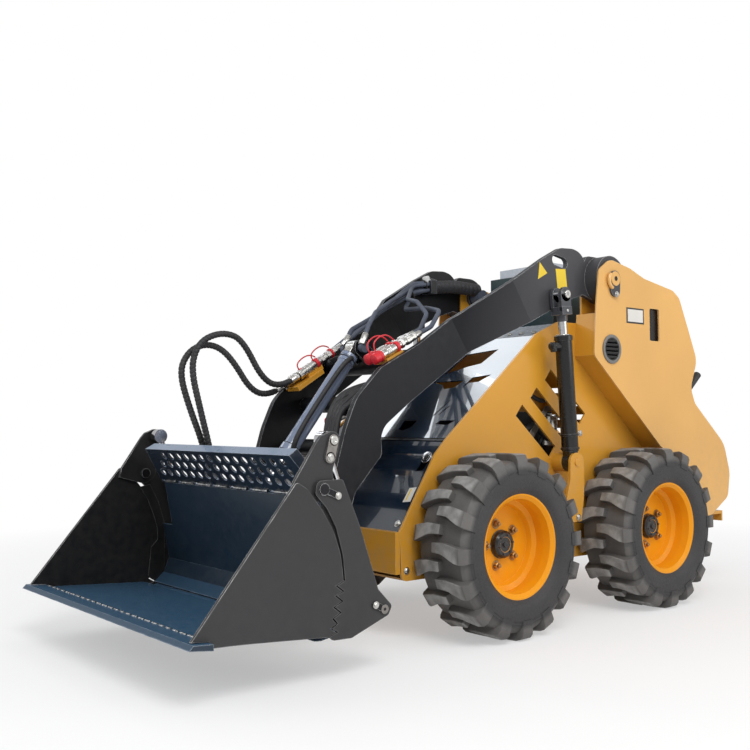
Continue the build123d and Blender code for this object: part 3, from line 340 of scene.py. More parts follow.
# ---- mesh pieces --------------------------------------------------------------------------
class Shape:
    """A mesh built from lofts in the machine's millimetres, which becomes one riding piece."""

    def __init__(self, name, body, look, bevel=0.0, origin=(0.0, 0.0, 0.0)):
        self.name, self.body, self.look = name, body, look
        self.bevel, self.origin = bevel, Vector(origin)
        self.mesh = bmesh.new()

    def loft(self, rings, closed=False):
        """Skins rings of as many points each, and caps the ends unless the loft is closed."""
        made = [[self.mesh.verts.new(p) for p in ring] for ring in rings]
        count = len(made[0])
        for a, b in zip(made, made[1:] + (made[:1] if closed else [])):
            for i in range(count):
                j = (i + 1) % count
                self.mesh.faces.new((a[i], a[j], b[j], b[i]))
        if not closed:
            self.mesh.faces.new(made[0][::-1])
            self.mesh.faces.new(made[-1])
        return self

    def turned(self, profile, start, along, sides=32, ring=False):
        """(distance along, radius) points turned about the axis from start; a ring stays open inside."""
        along = Vector(along).normalized()
        side = along.orthogonal().normalized()
        across = along.cross(side)
        rings = []
        for distance, radius in profile:
            centre = Vector(start) + along * distance
            rings.append([centre + (side * math.cos(a) + across * math.sin(a)) * radius for a in
                          (2 * math.pi * i / sides for i in range(sides))])
        return self.loft(rings, closed=ring)

    def disc(self, centre, radius, x0, x1, sides=32):
        return self.turned([(0, radius), (x1 - x0, radius)], (x0, *centre), (1, 0, 0), sides)

    def prism(self, corners, x0, x1):
        """A plate from x0 to x1 with an outline of (y, z) corners."""
        return self.loft([[(x, y, z) for y, z in corners] for x in (x0, x1)])

    def slab(self, origin, u, v, corners, thickness):
        """A plate on any plane: corners along u and v from origin, thickness along u x v."""
        u, v = Vector(u).normalized(), Vector(v).normalized()
        n = u.cross(v)
        return self.loft([[Vector(origin) + u * a + v * b + n * t for a, b in corners]
                          for t in (0.0, thickness)])

    def tube(self, points, radius, sides=12, radii=None):
        """A round tube along points, its frame carried along without twist."""
        points = [Vector(p) for p in points]
        tangents = [(points[min(i + 1, len(points) - 1)] - points[max(i - 1, 0)]).normalized()
                    for i in range(len(points))]
        side = tangents[0].orthogonal().normalized()
        rings, walked = [], 0.0
        for i, (point, tangent) in enumerate(zip(points, tangents)):
            side = (side - tangent * side.dot(tangent)).normalized()
            across = tangent.cross(side)
            if i:
                walked += (point - points[i - 1]).length
            ring = []
            for k in range(sides):
                a = 2 * math.pi * k / sides
                r = radii(walked, a) if radii else radius
                ring.append(point + (side * math.cos(a) + across * math.sin(a)) * r)
            rings.append(ring)
        return self.loft(rings)

    def bolt(self, place, along, radius, height):
        """A washer and a chamfered hexagon head."""
        washer, thick = radius * 1.35, 1.6
        self.turned([(0, washer), (thick, washer)], place, along, 24)
        self.turned([(thick, radius), (height * 0.8, radius), (height, radius * 0.82)], place, along, 6)
        return self

    def mirror(self):
        """Adds the other side's copy."""
        own = self.mesh.verts[:] + self.mesh.edges[:] + self.mesh.faces[:]
        made = bmesh.ops.duplicate(self.mesh, geom=own)
        for item in made["geom"]:
            if isinstance(item, bmesh.types.BMVert):
                item.co.x = -item.co.x
        return self

    def done(self, sharp=35.0):
        """Makes the piece, in metres, and lets it ride on its body."""
        base = mm(*self.origin)
        for vert in self.mesh.verts:
            vert.co = mm(*vert.co) - base
        bmesh.ops.remove_doubles(self.mesh, verts=self.mesh.verts, dist=1e-6)
        bmesh.ops.recalc_face_normals(self.mesh, faces=self.mesh.faces)
        data = bpy.data.meshes.new(self.name)
        self.mesh.to_mesh(data)
        self.mesh.free()
        data.polygons.foreach_set("use_smooth", [True] * len(data.polygons))
        data.set_sharp_from_angle(angle=math.radians(sharp))
        obj = bpy.data.objects.new(self.name, data)
        obj.location = base
        obj.data.materials.append(looks[self.look])
        scene.collection.objects.link(obj)
        if self.bevel:
            bevel = obj.modifiers.new("bevel", "BEVEL")
            bevel.width, bevel.segments = self.bevel / 1000, 2
            bevel.limit_method, bevel.angle_limit = "ANGLE", math.radians(40)
        if self.body:
            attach(obj, self.body)
        return obj


def smooth_path(points, steps=8):
    """Points of a NURBS line through the machine's millimetres, as Blender evaluates it."""
    curve = bpy.data.curves.new("route", "CURVE")
    curve.dimensions = "3D"
    spline = curve.splines.new("NURBS")
    spline.points.add(len(points) - 1)
    for made, point in zip(spline.points, points):
        made.co = (*Vector(point), 1.0)
    spline.order_u = 3
    spline.use_endpoint_u = True
    spline.resolution_u = steps
    holder = bpy.data.objects.new("route", curve)
    scene.collection.objects.link(holder)
    mesh = bpy.data.meshes.new_from_object(holder.evaluated_get(bpy.context.evaluated_depsgraph_get()))
    line = [vert.co.copy() for vert in mesh.vertices]
    bpy.data.objects.remove(holder)
    bpy.data.meshes.remove(mesh)
    return line


def spaced(line, step):
    """The line again, its points evenly spaced."""
    out, left = [line[0]], step
    for a, b in zip(line, line[1:]):
        length = (b - a).length
        while left <= length:
            out.append(a + (b - a) * (left / length))
            left += step
        left -= length
    if (out[-1] - line[-1]).length > step * 0.3:
        out.append(line[-1])
    return out


# ---- hoses --------------------------------------------------------------------------------
hose_diameter = 16.0
guard_radius, guard_pitch, guard_bare = 10.6, 13.0, 42.0
hose_foot = (-678.6, 443.0)
# x, then (y, z) of the route from the bucket's manifold to the coupler
hose_routes = {
    "outer": (-200.0, [hose_foot, (-708.3, 589.7), (-772, 738), (-806, 846), (-781.3, 907.2),
                       (-729.3, 941), (-667.3, 938.8), (-609.8, 895.5), (-533.5, 787.4),
                       (-453.9, 779.1), (-401, 811.5)]),
    "inner": (-168.0, [hose_foot, (-706, 578), (-750, 735), (-780, 850), (-768, 918), (-728, 962),
                       (-658, 982), (-590, 962), (-507, 822.5), (-424.3, 807.9), (-362.9, 845.5)]),
}


def spiral(walked, angle):
    """The radius of a spiral guard: a rounded strip with a narrow gap between its turns."""
    turn_at = (walked / guard_pitch - angle / (2 * math.pi)) % 1.0
    gap = max(0.0, 1.0 - abs(turn_at - 0.5) / 0.16)
    return guard_radius - 2.2 * gap


for name, (x, route) in hose_routes.items():
    line = smooth_path([(x, y, z) for y, z in reversed(route)], 16)
    hose = Shape(f"hose_{name}_tube", None, "hose").tube(line, hose_diameter / 2, 20).done(60)
    fine = spaced(line, 1.6)
    skip = int(guard_bare / 1.6)
    wrap = Shape(f"hose_{name}_guard", None, "hose")
    wrap.tube(fine[skip:-skip], guard_radius, 20, spiral)
    wrap = wrap.done(60)
    length = sum((b - a).length for a, b in zip(line, line[1:])) / 1000
    for piece in (hose, wrap):
        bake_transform(piece)
    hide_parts(f"hose_{name}")
    for body, a, b in (("boom", line[0], line[1]), ("bucket", line[-1], line[-2])):
        ferrule = Shape(f"ferrule_{name}_{body}", body, "zinc", 0.5)
        axis = (b - a).normalized()
        ferrule.turned([(0.3, 10), (2, 12.4), (10, 12.4), (12, 10.2)], a, axis, 6)
        ferrule.turned([(12, 10.4), (34, 10.4), (36, 9.0)], a, axis, 24)
        ferrule.done()

# ---- wheels -------------------------------------------------------------------------------
tyre_radius = 292.0
wheel_x, wheelbase = 442.0, 800.0
lug_count = 16
# (x, radius) of the tyre's skin from bead to bead on one side, from the outside inwards
sidewall = [(81, 152.6), (84, 158), (97, 174), (103, 182), (106.4, 192), (107.6, 208), (107.4, 222),
            (106.6, 230), (105.0, 232), (104.6, 236), (106.2, 238), (104, 242), (99, 252), (86, 266),
            (70, 268.4)]
# (x, leading edge, trailing edge, foot radius, top radius) of a bar's sections, across the tread
bar_sections = [(-13, -28, 2, 250, 289), (-9, -28.5, 2.5, 250, 291.5), (24, -30, 4, 250, 292),
                (40, -30, 8, 250, 292), (62, -26, 18, 250, 292), (83, -22, 27, 248, 291.5),
                (99, -19, 32, 238, 286), (106.5, -17, 34, 228, 275), (109, -15, 33, 227, 264)]


def tyre(name, body, x, y, side):
    """A revolved carcass with kinked, bevelled bars that reach in from both shoulders by turns."""
    shape = Shape(name, body, "tyre", 2.2, (side * x, y, tyre_radius))
    skin = sidewall + [(-px, r) for px, r in sidewall[::-1]]
    sides = 128
    rings = []
    for px, r in skin:
        rings.append([(side * (x + px), y + r * math.sin(a), tyre_radius + r * math.cos(a))
                      for a in (2 * math.pi * i / sides for i in range(sides))])
    shape.loft(rings, closed=True)
    for i in range(2 * lug_count):
        far = -1 if i % 2 else 1
        middle = 2 * math.pi * i / (2 * lug_count)
        loop = []
        for px, low, high, foot, top in bar_sections:
            ring = []
            for s, r, lean in ((low, foot, -2.5), (low, top, 0.6), (high, top, -0.6), (high, foot, 2.5)):
                a = middle - (s + lean) / tyre_radius
                ring.append((side * (x + far * px), y + r * math.sin(a), tyre_radius + r * math.cos(a)))
            loop.append(ring)
        shape.loft(loop)
    for i in range(12):
        a = 2 * math.pi * (i + 0.4) / 12
        r = (205.0, 222.0)[i % 2]
        centre = (side * (x + 106.6), y + r * math.sin(a), tyre_radius + r * math.cos(a))
        shape.turned([(0, 3.0), (1.6, 2.2)], centre, (side, 0, 0), 10)
    return shape.done(32)


looks["tyre"] = tyre_rubber("tyre_rubber")
disc_x, hub_end_x = 442.0, 465.7
nut_circle, nut_radius = 69.85, 11.0
for place, y, side in (("front_left", 0.0, 1), ("front_right", 0.0, -1),
                       ("rear_left", wheelbase, 1), ("rear_right", wheelbase, -1)):
    body = f"wheel_{place}"
    piece = tyre(f"tyre_skin_{place}", body, wheel_x, y, side)
    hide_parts(f"tyre_{place}")
    out = (side, 0, 0)
    hub = Shape(f"hub_cap_{place}", body, "black", 0.6)
    hub.turned([(0, 46), (3, 46), (4, 43.6), (hub_end_x - disc_x - 6, 43.6), (hub_end_x - disc_x + 0.6, 36),
                (hub_end_x - disc_x + 0.6, 25), (hub_end_x - disc_x - 2, 24), (hub_end_x - disc_x - 2, 10),
                (hub_end_x - disc_x + 3, 9), (hub_end_x - disc_x + 3, 0.01)],
               (side * (disc_x + 0.4), y, tyre_radius), out, 48)
    for i in range(6):
        a = 2 * math.pi * (i + 0.3) / 6
        hub.turned([(0, 4.6), (4, 4.6), (5, 3.6)],
                   (side * (hub_end_x + 0.5), y + 31 * math.sin(a), tyre_radius + 31 * math.cos(a)), out, 12)
    hub.done()
    nuts = Shape(f"wheel_nuts_{place}", body, "nut", 0.4)
    for i in range(5):
        a = math.radians(72 * (i + 0.25))
        centre = (side * (disc_x + 0.4), y - nut_circle * math.sin(a), tyre_radius + nut_circle * math.cos(a))
        nuts.turned([(0, 16.5), (1.2, 17), (2.0, 16)], centre, out, 24)
        nuts.turned([(1, nut_radius + 0.9), (11.0, nut_radius + 0.9), (12.9, nut_radius - 1)], centre, out, 6)
        nuts.turned([(12, 6.2), (19, 6.2), (20, 5.2)], centre, out, 16)
    nuts.done()
    valve = Shape(f"valve_{place}", body, "black")
    valve.turned([(0, 5), (20, 4.4), (21, 3.4), (34, 3.4), (35, 2.6)],
                 (side * (disc_x + 14), y - 118, tyre_radius - 30), (side, -0.25, -0.06), 16)
    valve.done()

# ---- lift cylinders -----------------------------------------------------------------------
lift_base, lift_head, lift_x = (427.0, 539.0), (382.0, 1133.0), 387.0


def along(a, b, distance, x=0.0, side=0.0):
    """A place on the (y, z) line from a to b, set off sideways to the left of the way."""
    length = math.dist(a, b)
    dy, dz = (b[0] - a[0]) / length, (b[1] - a[1]) / length
    return (x, a[0] + dy * distance - dz * side, a[1] + dz * distance + dy * side)


def bar(shape, a, b, near, far, half, x0, x1):
    """A flat bar on the (y, z) line from a to b between two distances from a."""
    corners = [along(a, b, near, 0, half), along(a, b, far, 0, half),
               along(a, b, far, 0, -half), along(a, b, near, 0, -half)]
    return shape.prism([(y, z) for x, y, z in corners], x0, x1)


lift_length = math.dist(lift_base, lift_head)
lift_way = (0, lift_head[0] - lift_base[0], lift_head[1] - lift_base[1])
clevis_half, clevis_plate, clevis_eye = 26.6, 13.2, 26.7
barrel_skin, rod_bore = 29.6, 18.8
# (distance along, radius) outlines of the turned pieces
clevis_neck = [(-96, 16.8), (-94, 19), (-75, 19), (-71, 24)]
lift_pin = [(0, 14.4), (9, 14.4), (10.5, 13), (10.5, 6), (8, 5)]
gland = [(0, barrel_skin), (1, 33.5), (17, 33.5), (19, 31), (19, rod_bore), (18.6, rod_bore),
         (18.6, barrel_skin)]
wiper = [(0, 26), (2, 27), (4, 26), (4, rod_bore), (0, rod_bore)]
port_pipe = [(0, 14), (44, 14), (45, 12.5)]
port_nut = [(0, 17), (14, 17), (15, 15)]
port_hose = [(0, 12), (26, 12), (28, 9)]
for side, name in ((1, "left"), (-1, "right")):
    x, out = side * lift_x, (side, 0, 0)
    clevis = Shape(f"lift_clevis_{name}", f"lift_shaft_{name}", "clevis", 1.2)
    bar(clevis, lift_base, lift_head, lift_length - 72, lift_length - 43, clevis_half,
        x - clevis_half, x + clevis_half)
    for x0 in (x - clevis_half, x + 11.4):
        x1 = x0 + clevis_plate
        bar(clevis, lift_base, lift_head, lift_length - 61, lift_length + 1, clevis_half, x0, x1)
        clevis.disc(lift_head, clevis_eye, x0, x1, 40)
    clevis.turned(clevis_neck, along(lift_base, lift_head, lift_length, x), lift_way, 32)
    clevis.done()
    pin = Shape(f"lift_pin_{name}", f"lift_shaft_{name}", "zinc", 0.6)
    pin.turned(lift_pin, (x + side * 24.5, *lift_head), out, 32)
    pin.bolt(along(lift_base, lift_head, lift_length - 58, x + side * 24.6), out, 6, 5)
    pin.done()
    tube = Shape(f"lift_collars_{name}", f"lift_tube_{name}", "black", 0.8)
    tube.turned(gland, along(lift_base, lift_head, lift_length - 164, x), lift_way, 48, ring=True)
    for distance, reach in ((92, 32.0), (44, 33.5)):
        tube.turned([(0, barrel_skin), (2, reach), (9, reach), (11, barrel_skin)],
                    along(lift_base, lift_head, distance, x), lift_way, 48, ring=True)
    port = along(lift_base, lift_head, lift_length - 186, x, 0)
    tube.turned(port_pipe, (x, port[1] - 24, port[2]), (0, -1, 0), 24)
    tube.turned(port_nut, (x, port[1] - 40, port[2]), (0, -1, 0), 6)
    tube.turned(port_hose, (x, port[1] - 58, port[2] + 8), (0, 0.15, -1), 20)
    tube.done()
    seal = Shape(f"lift_wiper_{name}", f"lift_tube_{name}", "zinc", 0.4)
    seal.turned(wiper, along(lift_base, lift_head, lift_length - 145.4, x), lift_way, 40, ring=True)
    seal.done()

# ---- tilt cylinder ------------------------------------------------------------------------
tilt_base, tilt_head = (-245.0, 938.0), (-643.0, 437.5)
tilt_way = (0, tilt_head[0] - tilt_base[0], tilt_head[1] - tilt_base[1])


def on_tilt(*rows):
    """Places given as (distance along, x, side) on the tilt cylinder."""
    return [along(tilt_base, tilt_head, *row) for row in rows]


knuckle_half = 20.8
knuckle = Shape("tilt_knuckle", "tilt_tube", "zinc", 1.5)
knuckle.disc(tilt_base, 26.6, -knuckle_half, knuckle_half, 48)
bar(knuckle, tilt_base, tilt_head, 6, 37, 21.5, -knuckle_half, knuckle_half)
knuckle.done()
foot_collar = [(0, 26.6), (2, 30.5), (17, 30.5), (19, 28.2), (22, 28.2), (24, 29.6), (34, 29.6), (36, 26.6)]
head_collar = [(0, 26.6), (2, 30.5), (24, 30.5), (26, 27), (27, 18.0), (26.4, 18.0), (25.4, 26.6)]
collar = Shape("tilt_collars", "tilt_tube", "steel_blue", 0.6)
collar.turned(foot_collar, along(tilt_base, tilt_head, 33), tilt_way, 64, ring=True)
collar.turned(head_collar, along(tilt_base, tilt_head, 425), tilt_way, 64, ring=True)
collar.done()
seal_ring = [(0, 26.8), (0.3, 31.0), (1.4, 31.0), (1.7, 26.8)]
band = Shape("tilt_seal", "tilt_tube", "black", 0.2)
for distance in (34.5, 47.0, 52.5, 424.0):
    band.turned(seal_ring, along(tilt_base, tilt_head, distance), tilt_way, 64, ring=True)
band.done()
pipe_route = on_tilt((46, -30, 6), (62, -40, 8), (90, -36, 6), (240, -34, 4), (400, -36, 4), (424, -36, 4),
                     (434, -28, 2))
pipe = Shape("tilt_pipe", "tilt_tube", "line", 0.0)
pipe.tube(smooth_path(pipe_route, 8), 5.5, 12)
pipe.done()
clips = Shape("tilt_pipe_clips", "tilt_tube", "zinc", 0.3)
for distance in (130, 300, 412):
    clips.turned([(0, 7.2), (12, 7.2)], along(tilt_base, tilt_head, distance, -34.5, 4), tilt_way, 16)
    bar(clips, tilt_base, tilt_head, distance, distance + 12, 5, -34, -26)
clips.done()

# ---- couplers, caps and lines -------------------------------------------------------------
# (x, low end, high end) of each coupler, its ends as (y, z)
right_couplers = [(-200.0, (-400.0, 812.0), (-248.0, 905.0)), (-168.0, (-362.0, 846.0), (-212.0, 938.0))]
left_couplers = [(200.0, (-300.0, 897.0), (-160.0, 965.0)), (168.0, (-300.0, 897.0), (-160.0, 965.0))]
first_nut = [(0, 12), (1, 16.4), (16, 16.4), (18, 15.6)]
ribbed_sleeve = [(0, 15.6), (2, 17.6), (6, 17.6), (7, 16.4), (9, 16.4), (10, 17.6), (14, 17.6), (15, 16.4),
                 (17, 16.4), (18, 17.6), (28, 17.6), (30, 15.8)]
middle_nut = [(0, 14), (1, 16), (14, 16), (15, 14)]
last_nut = [(0, 13), (1, 15.6), (20, 15.6), (22, 12.5)]
cap_ring = [(0, 15.6), (1, 18.6), (13, 18.6), (15, 16)]
end_cap = [(-30, 14), (-27, 18.4), (-5, 18.4), (-4, 20.2), (4, 20.2), (5, 17), (9, 16.6)]
thin_ring = [(0, 15.4), (1, 18.2), (9, 18.2), (10, 15.4)]
tube_cap = [(0, 15.6), (2, 18.5), (30, 18.5), (33, 15), (33.1, 0.01)]
silver = Shape("coupler_sleeves", "boom", "zinc", 0.5)
red = Shape("coupler_caps", "boom", "red", 0.8)


def strap(shape, start, way, up, reach, height):
    """A moulded strap that loops from a cap back to the coupler's body."""
    start, way, up = Vector(start), Vector(way).normalized(), Vector(up).normalized()
    points = [start, start + up * height * 0.8 - way * 6, start + up * height * 1.25 + way * reach * 0.35,
              start + up * height * 0.95 + way * reach * 0.8, start + way * reach * 0.95 + up * 4]
    shape.tube(spaced(smooth_path(points, 12), 4.0), 2.6, 8)


for x, low, high in right_couplers + left_couplers:
    way = Vector((0, high[0] - low[0], high[1] - low[1]))
    length = way.length
    way.normalize()
    up = Vector((0, -way.z, way.y))
    at = [along(low, high, d, x) for d in (0, 0.18 * length, 0.46 * length, 0.62 * length, 0.80 * length)]
    silver.turned(first_nut, at[0], way, 6)
    silver.turned(ribbed_sleeve, at[1], way, 40)
    silver.turned(middle_nut, at[3], way, 6)
    silver.turned(last_nut, at[4], way, 6)
    red.turned(cap_ring, at[2], way, 40)
    if x > 0:
        red.turned(end_cap, at[0], way, 40)
        strap(red, along(low, high, -8, x, 18), way, Vector((x * 0.001 - 0.15, up.y, up.z)), 92, 34)
    else:
        red.turned(thin_ring, along(low, high, 0.9 * length, x), way, 40)
        strap(red, along(low, high, 0.47 * length, x, 17), way, up, 88, 24)
cap_at, cap_end = (-291.0, 744.5), (-431.0, 683.0)
red.turned(tube_cap, along(cap_at, cap_end, math.dist(cap_at, cap_end) - 28, 100.0),
           (0, cap_end[0] - cap_at[0], cap_end[1] - cap_at[1]), 40)
silver.done()
red.done()

# where each line starts and the way it leaves its fitting
line_ends = [((200, -159.3, 965.3), (0, 87, 42)), ((168, -159.3, 965.3), (-2, 67, 33)),
             ((-200, -247.2, 905.5), (-4, 97, 67)), ((-168, -211.2, 938.5), (-2, 91, 58)),
             ((-50, -252, 950), (-8, 38, 58)), ((50, -252, 950), (-10, 38, 68))]
fittings = Shape("line_fittings", "boom", "zinc", 0.4)
for place, way in line_ends:
    fittings.turned([(-4, 12), (0, 13.6), (12, 13.6), (14, 11)], place, way, 6)
    fittings.turned([(14, 11), (40, 11), (43, 9)], place, way, 20)
fittings.done()

clamp_corners = [(-331, 1207.4), (-273.4, 1207.4), (-273.4, 1262.6), (-331, 1262.6)]
clamp = Shape("line_clamp_cover", "boom", "grip", 3.0)
clamp.loft([[(x, y, z) for x, z in clamp_corners] for y in (369.4, 402.6)])
clamp.done()
knob = Shape("line_clamp_knob", "boom", "white", 1.0)
knob.turned([(-10, 15), (14, 15), (19, 12), (20, 0.01)], (-305, 372, 1262), (0, -0.3, 1), 24)
knob.done()
sleeve_route = [(-303, 404, 1238), (-298, 460, 1243), (-292, 520, 1248), (-283, 585, 1244),
                (-274, 640, 1240)]
sleeve_radius, sleeve_pitch, sleeve_groove = 27.4, 21.0, 3.4


def sleeve_spiral(walked, a):
    """The radius of the wrap round the lines' sleeve."""
    turn_at = (walked / sleeve_pitch - a / (2 * math.pi)) % 1.0
    return sleeve_radius - sleeve_groove * max(0.0, 1.0 - abs(turn_at - 0.5) / 0.2)


wrap = Shape("line_sleeve_spiral", "boom", "hose", 0.0)
wrap.tube(spaced(smooth_path(sleeve_route, 12), 2.0)[1:-2], sleeve_radius, 28, sleeve_spiral)
wrap.done(60)

# moulded hoses: one along the tilt cylinder, a bundle and a loop between the arms
tilt_hose_route = on_tilt((52, 30, -6), (70, 48, -22), (120, 44, -30), (300, 42, -30), (395, 42, -26),
                          (425, 36, -14), (436, 27, -4))
hose = Shape("tilt_hose", "tilt_tube", "hose", 0.0)
hose.tube(smooth_path(tilt_hose_route, 10), 8.5, 14)
hose.done()
bundle_x, bundle_pitch, bundle_count = 108, 17, 4
bundle = Shape("boom_hose_bundle", "boom", "hose", 0.0)
for i in range(bundle_count):
    x = bundle_x + bundle_pitch * i
    route = [(x, -262, 812 - 3 * i), (x + 5, -322, 800), (x - 8 + 6 * (i % 2), -385, 772 - 9 * i),
             (x - 4, -428, 718), (x + 6, -452, 652), (x + 12, -462, 600)]
    bundle.tube(smooth_path(route, 10), 10.0, 12)
bundle.done()
loop_x, loop_y, loop_z, loop_radius, loop_shift = 100, -372, 742, 30, 26
coil = []
for t in range(27):
    a = t * math.pi / 12
    coil.append((loop_x + loop_shift * t / 24, loop_y + loop_radius * math.sin(a),
                 loop_z + loop_radius * math.cos(a)))
loop = Shape("boom_hose_loop", "boom", "hose", 0.0)
loop.tube(coil, 8.0, 12)
loop.done()
ties = Shape("line_ties", "boom", "grip", 0.3)
for place, way, radius in (((-270, 236, 1184), (-0.35, 1, 0.4), 30), ((-306, 350, 1238), (0, 1, 0.1), 26)):
    ties.turned([(0, radius), (5, radius), (5, radius - 3), (0, radius - 3)], place, way, 24)
ties.done()

# ---- bucket -------------------------------------------------------------------------------
clam_base, clam_head = (-565.5, 171.0), (-733.0, 637.5)
keeper_bolt, keeper_half = (-745.0, 592.0), 16
keeper_face = (529.0, 531.6)
keeper = Shape("clam_keeper_faces", "clam", "worn", 1.5)
bar(keeper, clam_head, keeper_bolt, 0, math.dist(clam_head, keeper_bolt), keeper_half, *keeper_face)
for centre in (clam_head, keeper_bolt):
    keeper.disc(centre, keeper_half, *keeper_face, 40)
keeper.mirror().done()
pins = Shape("clam_pin_ends", "clam", "zinc", 0.6)
pins.turned([(0, 12.5), (3, 12.5), (4.2, 11), (4.2, 5), (2.6, 4.2)], (531.0, *clam_head), (1, 0, 0), 32)
pins.bolt((531.4, *keeper_bolt), (1, 0, 0), 8.5, 6)
pins.mirror().done()
base_end = [(0, 13.0), (0.8, 12.9), (0.8, 5.0), (-0.6, 3.75)]
ends = Shape("bucket_pin_ends", "bucket", "worn", 0.5)
ends.turned(base_end, (539.9, *clam_base), (1, 0, 0), 32)
ends.mirror().done()
screws = Shape("bucket_keeper_bolts", "bucket", "zinc", 0.4)
for bolt_at in ((-725.0, 490.0), (-597.0, 186.0)):
    screws.bolt((539.4, *bolt_at), (1, 0, 0), 7.5, 5.5)
screws.mirror().done()

# a lining behind the jaw's gap and a strip under the floor's rear edge close the bucket
jaw_outline = [(-786, 462), (-756, 415), (-733, 360), (-720, 320), (-717, 275), (-742, 250), (-752, 150),
               (-720, 128), (-690, 160), (-690, 330), (-716, 410), (-748, 470)]
lining = Shape("jaw_linings", "bucket", "charcoal", 0.3)
lining.prism(jaw_outline, 522.4, 524.6)
lining.mirror().done()
seal_outline = [(-785, 112.6), (-764, 111.2), (-742, 117), (-724, 124), (-720, 120), (-742, 112.6),
                (-764, 109.2), (-785, 110.6)]
under = Shape("floor_seal", "bucket", "bucket", 0.3)
under.prism(seal_outline, -515, 515).done()

# weld beads along the lip
lip_beads, lip_pitch, lip_y, lip_z = 26, 39.2, -1111, 159.6
lip_weld = Shape("lip_weld_bead", "clam", "weld", 0.0)
for i in range(lip_beads):
    x0 = -508 + i * lip_pitch
    line = [Vector((x0 + t * 3.0, lip_y + 1.2 * math.sin(i + t), lip_z)) for t in range(10)]
    lip_weld.tube(line, 3.4, 8)
lip_weld.done(60)

# the ends of the pin that the bucket tilts on
bucket_pin = (-549.0, 258.0)
boss = Shape("boom_pin_ends", "bucket", "zinc", 0.8)
boss.turned([(0, 17), (3, 17), (4.5, 15), (4.5, 6), (3, 5)], (260.5, *bucket_pin), (1, 0, 0), 32)
boss.mirror().done()

# weld beads below the spill guard
wall_top = (-726.0, 479.0)
guard_beads, guard_bead_pitch = 8, 112.5
beads = Shape("guard_weld_beads", "bucket", "weld", 0.0)
for i in range(guard_beads):
    x0 = -430 + i * guard_bead_pitch
    line = [Vector((x0 + t * 6.0, wall_top[0] - 7.0 + 1.6 * math.sin(t * 2.3 + i), wall_top[1] + 5.5))
            for t in range(13)]
    beads.tube(line, 4.2, 10, lambda walked, a: 4.0 + 0.9 * math.sin(walked * 1.1))
beads.done(60)

# ---- plates, keepers and bolts on the boom and the cheeks ---------------------------------
# the outer faces of the arms and the cheeks, and the boom's pivot as (y, z)
arm_out, cheek_out, pivot = 352.0, 418.0, (649.0, 1211.0)
triangle = Shape("arm_plate_triangle", "boom", "decal_yellow", 0.2)
triangle.prism([(312, 1248), (352, 1212), (302, 1186)], arm_out + 0.2, arm_out + 1.0).done()
square = Shape("arm_plate_square", "boom", "decal_yellow", 0.2)
square.prism([(398, 1232), (452, 1236), (462, 1163), (408, 1155)], arm_out + 0.2, arm_out + 1.0).done()
latch_radius = 30
for side, name in ((1, "left"), (-1, "right")):
    out = (side, 0, 0)
    latch = Shape(f"pivot_keeper_{name}", "boom", "pale", 1.5)
    arc = [(side * (cheek_out + 8.5), pivot[0] + latch_radius * math.sin(a) - 8,
            pivot[1] - 22 - latch_radius * math.cos(a) + 14)
           for a in (math.radians(d) for d in range(-20, -150, -10))]
    latch.tube(arc, 7.0, 10)
    latch.turned([(0, 27), (3.4, 27), (4.4, 26), (4.4, 0.01)], (side * (cheek_out + 6.3), *pivot), out, 48)
    latch.done()
    hole = Shape(f"pivot_centre_{name}", "boom", "black", 0.4)
    hole.turned([(0, 9), (1.2, 9), (1.3, 0.01)], (side * (cheek_out + 10.6), *pivot), out, 24)
    hole.done()
    screw = Shape(f"pivot_bolt_{name}", "boom", "zinc", 0.4)
    screw.bolt((side * (cheek_out + 9), pivot[0] + 5, pivot[1] - 58), out, 8.5, 7)
    screw.done()

border = Shape("cheek_plate_border", "chassis", "decal_black", 0.3)
border.prism([(724, 1052), (833, 1052), (833, 1111), (724, 1111)], cheek_out + 0.2, cheek_out + 1.0).done()
face = Shape("cheek_plate_face", "chassis", "decal_white", 0.2)
face.prism([(731, 1058), (826, 1058), (826, 1105), (731, 1105)], cheek_out + 0.9, cheek_out + 1.5).done()
vent = (630.0, 949.0)
vent_ring = [(0, 54), (4.2, 54), (5.2, 52), (5.2, 44), (4.0, 42), (0, 42)]
bezel = Shape("vent_bezels", "chassis", "bezel", 0.8)
bezel.turned(vent_ring, (cheek_out + 0.2, *vent), (1, 0, 0), 64)
bezel.mirror().done()
# painted shade: dark sheets behind the vents and the cheeks' rectangular openings, standing in for the shade
# inside
back = Shape("vent_shade_sheets", "chassis", "black", 0.0)
back.disc(vent, 46, cheek_out - 14, cheek_out - 12, 40)
back.prism([(862, 984), (944, 984), (944, 1126), (862, 1126)], cheek_out - 15, cheek_out - 13)
back.mirror().done()

# ---- hood and engine ----------------------------------------------------------------------
bolts = Shape("frame_bolts", "chassis", "zinc", 0.4)
for place in ((323.2, -296, 222), (415.8, 430, 346), (323.2, 250, 560), (323.2, 560, 640)):
    bolts.bolt(place, (1, 0, 0), 8.5, 6)
deck_bolt_x, deck_bolt_pitch = 286, 58
for i in range(3):
    bolts.bolt((deck_bolt_x - i * deck_bolt_pitch, 352, 1003.6), (0, -0.35, 1), 8, 6)
bolts.mirror().done()

# the ways up the upper and the lower hood, and out of the lower one
hood_up = Vector((0, 439, 363)).normalized()
low_up = Vector((0, 153, 239)).normalized()
low_out = Vector((0, -239, 153)).normalized()
hood_foot = Vector((0, -323, 343))


def on_low_hood(x, up, off=0.0):
    """A place on the lower hood's face."""
    return hood_foot + low_up * up + low_out * (off - 5.0) + Vector((x, 0, 0))


